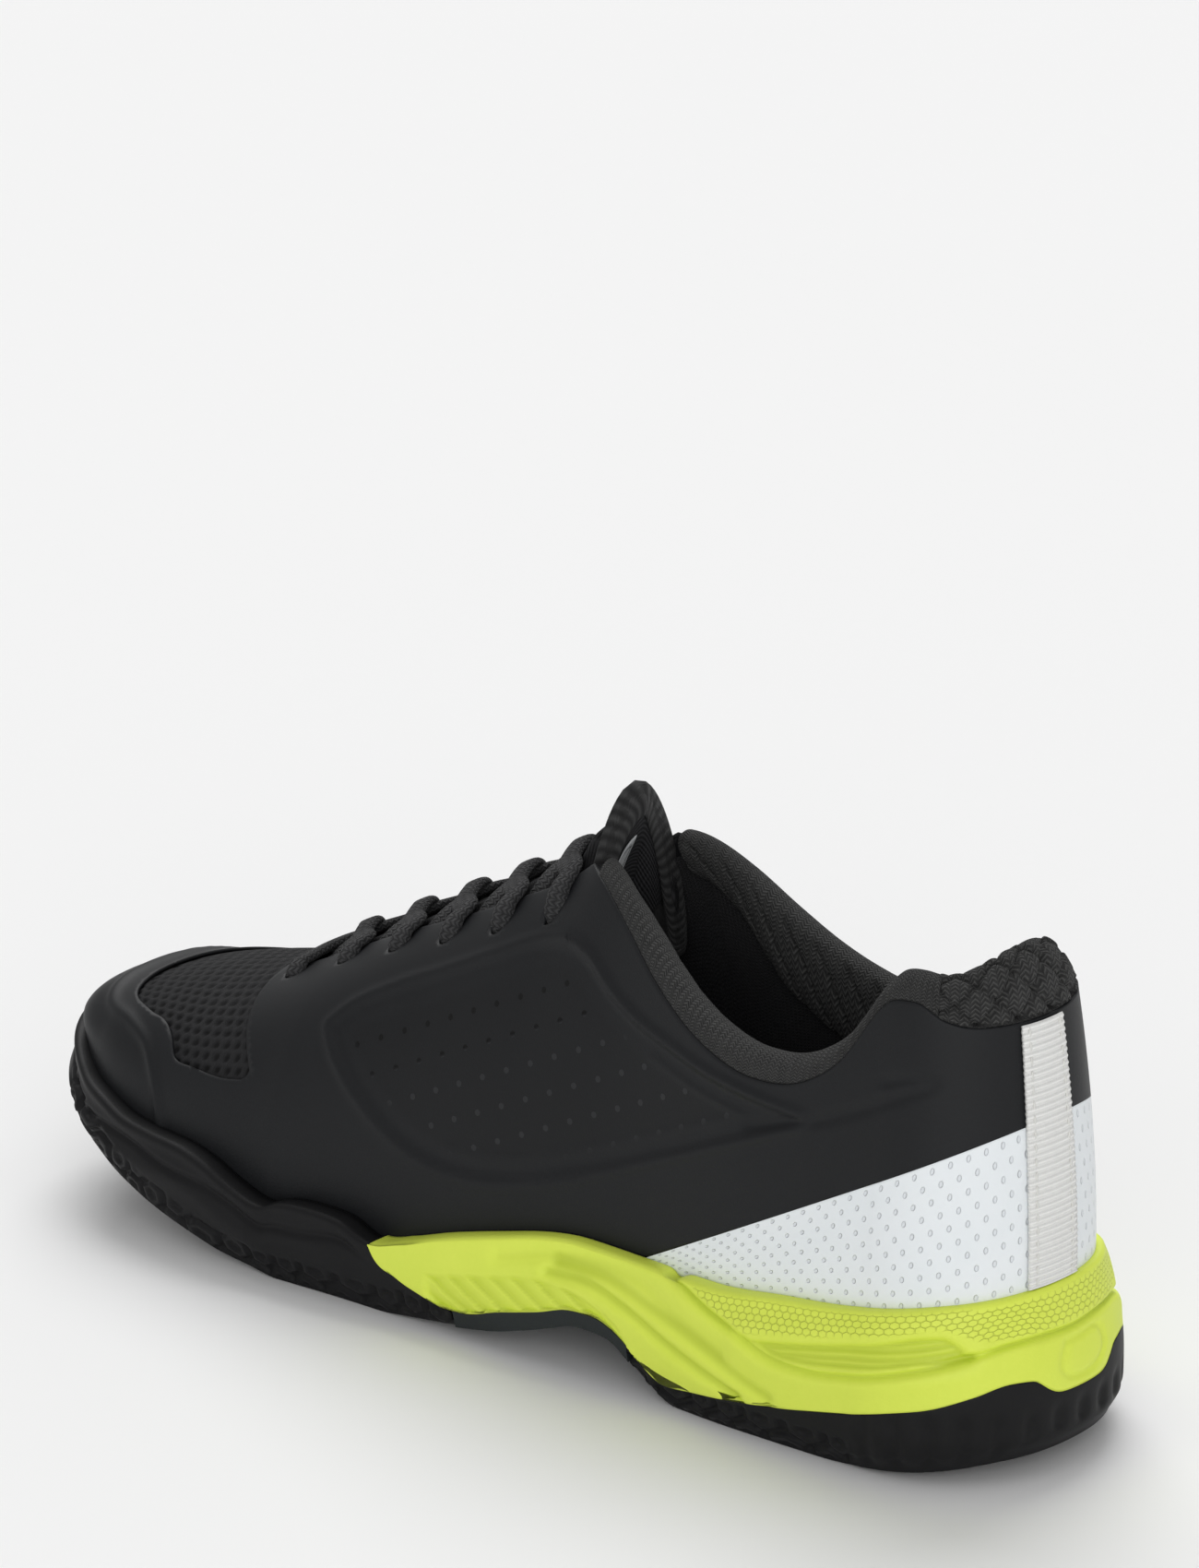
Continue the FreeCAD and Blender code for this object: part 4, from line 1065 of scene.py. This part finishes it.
def collar_relief(points, cloth):
    """Slanted ribs on the roll's inner side."""
    inner = soft(cloth[:, 1], 16, 20) * (1 - soft(cloth[:, 1], 38, 42))
    return stitched(cloth, 9.5, 0.75, 1.4, 0.9) * inner


def quilt_relief(points, cloth):
    """Diamonds between two sets of sewn lines, as far down as they show."""
    shown = 1 - soft(cloth[:, 1], 50, 54)
    lines = stitched(cloth, 9.0, 0.85, 1.4, 1.0) + stitched(cloth, 9.0, -0.85, 1.4, 1.0)
    return (lines + 0.35) * shown


for name, side in (("medial", 1.0), ("lateral", -1.0)):
    roll = grid_piece("collar_roll_" + name, (230, 84),
                      lambda u, v, side=side: roll_place(u, v, 0.69, 1.5398, side), closed=True,
                      relief=collar_relief)
    dress(roll, knit, "shoe", "collar_cover_" + name, "collar_pad_" + name, slot="knit", fill=0.7)
tab = grid_piece("heel_tab_quilt", (150, 110),
                 lambda u, v: roll_place(u, v, -0.7, 0.7, 1.0, False), closed=True,
                 relief=quilt_relief)
dress(tab, knit, "shoe", "heel_tab", "heel_tab_pad", slot="knit", fill=0.8)

# %% [markdown]
# ## Tape, lining and sockliner
# A white grosgrain tape covers the seam down the heel, with a row of stitches along each
# edge. Inside, a knit lining runs from the board up under the collar, and a soft sockliner
# lies on the board.

# %% Tape and stitches
tape_cloth = ribbed_finish("heel_tape", (0.80, 0.80, 0.78), (0.95, 0.95, 0.93), 1.5, across=True,
                           depth=0.35)
TAPE_HALF, TAPE_ASIDE, STITCHES = 7.6, 3.2, 19
TAPE_LOW = float(bisect(lambda v: skin(np.zeros(1), v)[:, 2] < 43.6, (1,))[0])


def tape_place(u, v, depth=-1.1):
    s = ((2 * u - 1) * TAPE_HALF + TAPE_ASIDE) / 48.0
    return skin(s, TAPE_LOW + (edge(s) * 0.99 - TAPE_LOW) * v, depth)


tape = grid_piece("heel_tape_ribbed", (22, 150), tape_place, wall=0.75,
                  relief=lambda p, c: 0.16 * np.cos(c[:, 1] * 2 * math.pi / 1.5))
dress(tape, tape_cloth, "shoe", "heel_tape", slot="tape")
thread = Finish("white_thread", (0.75, 0.75, 0.72), 0.6)
thread.paint("Base Color", thread.mix(thread.noise(900.0), (0.6, 0.6, 0.57), (0.8, 0.8, 0.77)))
bm = bmesh.new()
for edge_u in (0.13, 0.87):
    for k in range(STITCHES):
        ends = tape_place(np.array([edge_u] * 2), (k + np.array([0.14, 0.80])) / STITCHES, -1.22)
        a, b = [Vector(end) for end in (ends + HOME) / 1000]
        made = bmesh.ops.create_uvsphere(bm, u_segments=8, v_segments=6, radius=1.0)["verts"]
        turn = (b - a).to_track_quat("Z", "Y").to_matrix().to_4x4()
        turn.translation = (a + b) / 2
        stretch = [0.00028, 0.00028, (b - a).length / 2]
        for v in made:
            v.co = turn @ Vector([v.co[i] * stretch[i] for i in range(3)])
for face in bm.faces:
    face.smooth = True
dress(settle(bm, "tape_stitches"), thread, "shoe", slot="tape")

# %% Lining and sockliner


def lining_place(u, v):
    """From the board up to the collar, and shorter under the roll."""
    s = walk(u, -2.0, 2.0)
    x = np.where(np.abs(s) < 1, 0, outline(s)[0])
    reach = 0.775 + 0.225 * soft(x, 112, 134)
    return skin(s, edge(s, 4.4) * reach * v, 4.4)


lining = grid_piece("inner_lining", (220, 40), lining_place, wall=0.9)
dress(lining, lining_cloth, "shoe", "quarter_lining_medial", "quarter_lining_lateral",
      slot="inner_textile")


SOCK_INSET, SOCK_LIFT, SOCK_HALF = 7.4, 2.3, 1.95


def sock_ring(u, v):
    """The sockliner's round: over the top from edge to edge, and back underneath."""
    s = walk(u, 0.0, 3.0)
    x, angle, w = outline(s)
    reach = np.maximum(w - SOCK_INSET, 0.2)
    a = v * 2 * math.pi
    side = np.clip(-np.cos(a) * 1.06, -1, 1)
    px = x + reach * np.cos(angle) - SOCK_INSET * soft(s, 2.6, 3.0)
    z = feather(np.clip(px, 8, 280)) + SOCK_LIFT + np.clip(np.sin(a) * 3, -1, 1) * SOCK_HALF
    return np.stack([px, reach * np.sin(angle) * side + bend(px), z], -1)


insole_cloth = knit_finish("sockliner_cloth", (0.01, 0.01, 0.011), (0.035, 0.035, 0.037), 1.6, 1.1)
sock = grid_piece("sockliner_pad", (120, 64), sock_ring, closed=True)
dress(sock, insole_cloth, "sockliner", "sockliner", slot="soft_foam", fill=0.5)

# %% [markdown]
# ## Tongue
# The tongue is three layers: coarse spacer mesh in front, foam, and a fine striped lining
# behind, all held by a ribbed binding at the edge. It is sunk under the eyestays and swells
# in the throat, so its depth below the skin changes across it. The pad is one closed form;
# its outside and its inside are told apart in the finish by a stored mask.

# %% Tongue finishes


def spacer_finish():
    f = Finish("tongue_cloth", (0.008, 0.008, 0.009), 0.85, Specular_IOR_Level=0.15)
    back, hole = f.mask("back"), f.mask("hole")
    a, b, _ = f.split(f.cloth())
    yarn = (a + b).wave(0.6) * 0.5 + (a - b).wave(0.6) * 0.5
    front = f.mix(yarn * 0.6 + f.noise(400.0) * 0.5, (0.007, 0.007, 0.0075), (0.03, 0.03, 0.032))
    # The spacer mesh's holes are painted near black: partly the dark foam behind, partly painted
    # shade in them.
    front = f.mix(hole, front, (0.002, 0.002, 0.002))
    stripes = (a + b * 0.35).wave(1.3) * 0.7 + b.wave(0.7) * 0.3
    rear = f.mix(stripes, (0.007, 0.007, 0.0075), (0.045, 0.045, 0.048))
    f.paint("Base Color", f.mix(back, front, rear))
    f.paint("Roughness", f.noise(300.0) * 0.2 + 0.7)
    return f.relief(yarn * (1 - back) * 0.12 + stripes * back * 0.2, 1.0)


# %% The tongue
LACE_UNDER, TONGUE_DEEP, TONGUE_HIGH = 7.0, 9.9, 0.8
TONGUE_TOP, TONGUE_BASE = 118.3, 244.0
tongue_half = rail((118, 19), (122, 21), (127, 21), (134, 20), (142, 19.5), (150, 20),
                   (200, 20), (236, 17), (246, 15))
tongue_deep = rail((118, TONGUE_DEEP), (234, TONGUE_DEEP), (243, 8.0))
tongue_high = rail((118, TONGUE_DEEP), (126, TONGUE_DEEP - 0.6), (138, TONGUE_HIGH),
                   (226, TONGUE_HIGH), (238, TONGUE_DEEP - 1.5))


def tongue_face(x, r, swell=1.0):
    """The tongue's front: deep under the eyestays, swelling up in the throat."""
    reach = np.maximum(throat_half(x), 8.0)
    rise = soft((reach - 1.5 - np.abs(r)) / 5.5, 0.0, 1.0)
    low = tongue_deep(x)
    high = np.minimum(tongue_high(x), low)
    return at(x, r, low + (high - low) * rise * swell)


def tongue_point(x, r, below, swell=1.0):
    """Point a distance below the tongue's outer face."""
    along = tongue_face(x + 0.4, r, swell) - tongue_face(x - 0.4, r, swell)
    across = tongue_face(x, r + 0.4, swell) - tongue_face(x, r - 0.4, swell)
    normal = np.cross(across, along)
    normal /= np.linalg.norm(normal, axis=-1, keepdims=True)
    normal *= np.sign(-normal[:, 2:3])
    stand = np.clip((147.0 - x) / 29.0, 0, 1.1)[:, None] ** 1.45
    return (tongue_face(x, r, swell) + normal * np.broadcast_to(below, x.shape)[:, None]
            + stand * np.array([15.0, 0.0, 7.0]))


def tongue_place(u, v):
    """Round the pad: across the front, over the edge, back behind, and over again."""
    x = TONGUE_TOP + 1.0 + (TONGUE_BASE - TONGUE_TOP - 1.0) * u
    half = tongue_half(x) - 1.6
    turn = v * 2 * math.pi
    r = half * np.clip(-np.cos(turn) * 1.05, -1, 1)
    front = np.sin(turn) > 0
    roundness = np.sqrt(np.clip(1 - (np.abs(r) / half) ** 6, 0, 1))
    end = np.sqrt(np.clip(1 - (1 - np.clip(u / 0.03, 0, 1)) ** 2, 0.02, 1))
    thick = np.minimum(roundness, end)
    below = np.where(front, 3.0 - 3.0 * thick, 3.0 + 2.6 * thick)
    return np.where(front[:, None], tongue_point(x, r, below), tongue_point(x, r, below, 0.35))


pad = grid_piece("tongue_pad_body", (250, 168), tongue_place, closed=True)
points, cloth = drawing(pad.data)
turn = cloth[:, 1] / cloth[:, 1].max()
keep(pad.data, "back", soft(turn, 0.5, 0.51))
comb = honeycomb(cloth[:, 0], cloth[:, 1], 2.6)
# The hole mask carries the holes' near-black colour, partly painted shade.
keep(pad.data, "hole", soft(comb, 0.16, 0.3) * (turn < 0.5))
press(pad, lambda p, c: -0.35 * soft(comb, 0.12, 0.3) * (turn < 0.5))
dress(pad, spacer_finish(), "tongue", "tongue_mesh", "tongue_pad", "tongue_lining", slot="mesh",
      fill=0.6)

# %% [markdown]
# The binding is a ribbed band folded over the tongue's edge and sewn down. It is one tube
# that follows the edge up one side, over the top and down the other, so its ribs can run
# along it without a break.

# %% The binding of the tongue
BOW, SIDE_SHARE = 7.0, 0.42          # height of the round top, and the share before it


def binding_line(t):
    """Round the tongue's edge, from one foot over the top to the other: x and r."""
    half = 0.5 - np.abs(t - 0.5)
    start, stop = TONGUE_BASE - 4, TONGUE_TOP + BOW
    x_side = start - (start - stop) * np.clip(half / SIDE_SHARE, 0, 1)
    turn = np.clip((half - SIDE_SHARE) / (0.5 - SIDE_SHARE), 0, 1) * math.pi / 2
    r = tongue_half(x_side) * np.cos(turn) ** 0.55
    return x_side - BOW * np.sin(turn), r * np.where(t < 0.5, -1, 1)


def binding_place(u, v):
    """A flat-oval band on that line, half over the pad's front and half behind it."""
    x, r = binding_line(u)
    turn = v * 2 * math.pi
    ahead, r_ahead = binding_line(np.clip(u + 0.002, 0, 1))
    back, r_back = binding_line(np.clip(u - 0.002, 0, 1))
    dx, dr = ahead - back, r_ahead - r_back
    size = np.hypot(dx, dr) + 1e-9
    nx, nr = -dr / size, dx / size
    centre_x = (TONGUE_TOP + TONGUE_BASE) / 2
    inward = np.sign(nx * (centre_x - x) - nr * r)
    nx, nr = nx * inward, nr * inward
    reach = 1.6 - 2.1 * np.sign(np.cos(turn)) * np.abs(np.cos(turn)) ** 0.7
    below = 3.0 - 3.4 * np.sign(np.sin(turn)) * np.abs(np.sin(turn)) ** 0.6
    return tongue_point(x + nx * reach, r + nr * reach, below, 0.9)


binding = grid_piece("tongue_edge_binding", (420, 28), binding_place, closed=True)
dress(binding, tongue_rib, "tongue", "tongue_binding", slot="knit")

# %% [markdown]
# A small grey tag with a woven frame is sewn to the back of the tongue. It carries no
# letters here: a plain frame is enough to read as a size tag.

# %% The size tag


def tag_finish():
    f = Finish("size_tag", (0.42, 0.43, 0.44), 0.6)
    a, b, _ = f.split(f.cloth())
    frame_in = (a > 1.6) * (a < 11.2) * (b > 1.4) * (b < 8.4)
    line = frame_in * (1 - (a > 2.1) * (a < 10.7) * (b > 1.9) * (b < 7.9))
    base = f.mix(f.noise(500.0), (0.38, 0.39, 0.40), (0.46, 0.47, 0.48))
    f.paint("Base Color", f.mix(line, base, (0.02, 0.02, 0.02)))
    f.paint("Roughness", f.noise(500.0) * 0.2 + 0.5)
    return f.relief((a + b).wave(0.5) * 0.04, 1.0)


def tag_place(u, v):
    x = TONGUE_TOP + 7 + 13 * u
    r = tongue_half(x) * (0.15 + 0.58 * v)
    return tongue_point(x, r, 6.1 + 0 * u, 0.35)


tag = grid_piece("size_tag_label", (20, 16), tag_place, wall=0.3)
dress(tag, tag_finish(), "tongue", "size_label", slot="label")

# %% [markdown]
# ## Laces
# A flat-oval lace crosses over itself five times between six pairs of holes. Each strap is
# one swept tube: its centre runs from under one eyestay, out of the throat, over the tongue
# and down into the next hole, and its section is a flattened oval. The knit is chevrons in
# the finish.

# %% The lace's path
LACE_HALF, LACE_THICK, OVER, LIFT = 3.3, 1.25, -1.1, 2.2   # depths below the skin count down
lace_cloth = knit_finish("lace_knit", (0.006, 0.006, 0.0065), (0.06, 0.06, 0.062), 1.6, 1.3, 0.4)


def lace_in(x, r, half):
    """Over the throat's edge and down through a hole: x, distance from the ridge, depth."""
    sign = 1 if r > 0 else -1
    return [(x, sign * half, OVER), (x, sign * (abs(r) - 2.0), OVER - 0.15),
            (x, sign * (abs(r) - 0.3), 0.3), (x, r, 2.2), (x, r, LACE_UNDER - 0.95)]


def lace_out(x, r, half):
    """From under the hole out to the throat's edge."""
    sign = 1 if r > 0 else -1
    return [(x, sign * (abs(r) + 2.2), LACE_UNDER), (x, r, LACE_UNDER),
            (x, sign * (half + 1.0), LACE_UNDER - 0.1)]


def lace_path(places, count=90):
    """The centre line through a strap's places, in millimetres."""
    x, r, d = np.array(places).T
    return curve_through(*at(x, r, d), count=count)


runs = []
x0, r0 = eyelet(0, 1)
half0 = float(throat_half(np.array(x0)))
bar = [(x, -r, d) for x, r, d in reversed(lace_in(x0, r0, half0))]
runs.append(bar + [(x0, -half0 / 2, OVER), (x0, half0 / 2, OVER)] + lace_in(x0, r0, half0))
for row in range(5):
    for side, lift in ((1, 0.0), (-1, LIFT)):
        x0, r0 = eyelet(row, side)
        x1, r1 = eyelet(row + 1, -side)
        a, b = float(throat_half(np.array(x0))), float(throat_half(np.array(x1)))
        path = lace_out(x0, r0, a)
        for share, r, depth in ((0.22, a - 3, 3.4), (0.34, a - 7, 0.7), (0.5, 0, OVER - lift),
                                (0.68, -(b - 6), OVER - 0.1)):
            path.append((x0 + (x1 - x0) * share, side * r, depth))
        runs.append(path + lace_in(x1, r1, b))

print("lace straps to sweep:", len(runs))

# %% [markdown]
# Each strap starts as a grid whose one direction runs along the path and whose other turns
# round it. Both ends close to a quarter of the width, deep under the eyestay. The distance
# along the lace is kept on the corners for the knit.

# %% The lace's tubes
LACE_GIRTH = 13.0
lace = bmesh.new()
lengths = []
cloth_of = []
for places in runs:
    path = lace_path(places)
    lengths.append(float(np.linalg.norm(np.diff(path, axis=0), axis=-1).sum()))
    tangent = np.gradient(path, axis=0)
    tangent /= np.linalg.norm(tangent, axis=-1, keepdims=True)
    lean = np.array([1.0, 0.0, -0.55])
    across = lean - tangent * (tangent @ lean)[:, None]
    across /= np.linalg.norm(across, axis=-1, keepdims=True)
    normal = np.cross(tangent, across)
    made = bmesh.ops.create_grid(lace, x_segments=len(path) - 1, y_segments=18, size=0.5)["verts"]
    for v in made:
        i = int(round((v.co.x + 0.5) * (len(path) - 1)))
        turn = (v.co.y + 0.5) * 2 * math.pi
        close = 0.25 if i in (0, len(path) - 1) else 1.0
        c, s = math.cos(turn), math.sin(turn)
        p = (path[i] + across[i] * LACE_HALF * close * math.copysign(abs(c) ** 0.8, c)
             + normal[i] * LACE_THICK * close * math.copysign(abs(s) ** 0.7, s))
        cloth_of.append((sum(lengths[:-1]) + i * lengths[-1] / (len(path) - 1),
                         (v.co.y + 0.5) * LACE_GIRTH, 0.0))
        v.co = Vector((p + HOME) / 1000)
laces = settle(lace, "laces")
keep(laces.data, "cloth", np.array(cloth_of))
tidy(laces.data, True)
dress(laces, lace_cloth, "shoe", "shoelace", slot="knit")
print("lace straps:", len(runs), "total", round(sum(lengths)), "mm")

# %% [markdown]
# ## Pieces that stay as they are
# The stiffeners, boards and inner sheets are hidden in the shoe, so the frame's own solids
# stay, each with a finish that fits: the shank's glossy plastic, fibre board, foam.

# %% Finishes of the frame's own pieces


def plain_finish(name, dark, light, rough, scale=300.0, depth=0.05):
    f = Finish(name, light, rough)
    tone = f.noise(scale, 4.0)
    f.paint("Base Color", f.mix(tone, dark, light))
    f.paint("Roughness", tone * 0.2 + rough - 0.1)
    return f.relief(tone, depth)


board = plain_finish("fibre_board", (0.30, 0.25, 0.18), (0.45, 0.39, 0.30), 0.9)
under_cloth = plain_finish("inner_textile", (0.010, 0.010, 0.011), (0.03, 0.03, 0.032), 0.85, 800.0)
soft_foam = plain_finish("soft_foam", (0.03, 0.03, 0.032), (0.07, 0.07, 0.072), 0.9, 900.0)
stiff = plain_finish("stiffener", (0.05, 0.05, 0.05), (0.10, 0.10, 0.10), 0.6)
for node, finish in (("arch_shank", shank), ("strobel_board", board), ("toe_puff", stiff),
                     ("heel_counter", stiff), ("vamp_lining", under_cloth),
                     *[(kind + side, under_cloth) for kind in ("quarter_textile_", "eyestay_")
                       for side in ("medial", "lateral")],
                     ("quarter_foam_medial", soft_foam), ("quarter_foam_lateral", soft_foam)):
    for piece in nodes[node] if isinstance(nodes[node], (list, tuple)) else [nodes[node]]:
        piece.data.materials.clear()
        piece.data.materials.append(finish.material)
    print(node, "is kept, in", finish.material.name)

# %% [markdown]
# ## The floor
# The shoe stands on a wide sheet of pale paper, far larger than the view, so that no edge
# shows. It is a flat disc that only sets the stage, so it isn't part of the shoe.

# %% The floor
bm = bmesh.new()
bmesh.ops.create_circle(bm, cap_ends=True, radius=12.0, segments=96)
floor = settle(bm, "floor")
paper = Finish("floor_paper", (0.88, 0.88, 0.88), 0.9)
paper.paint("Base Color", paper.mix(paper.noise(2.0), (0.875, 0.875, 0.875), (0.885, 0.885, 0.885)))
floor.data.materials.append(paper.material)
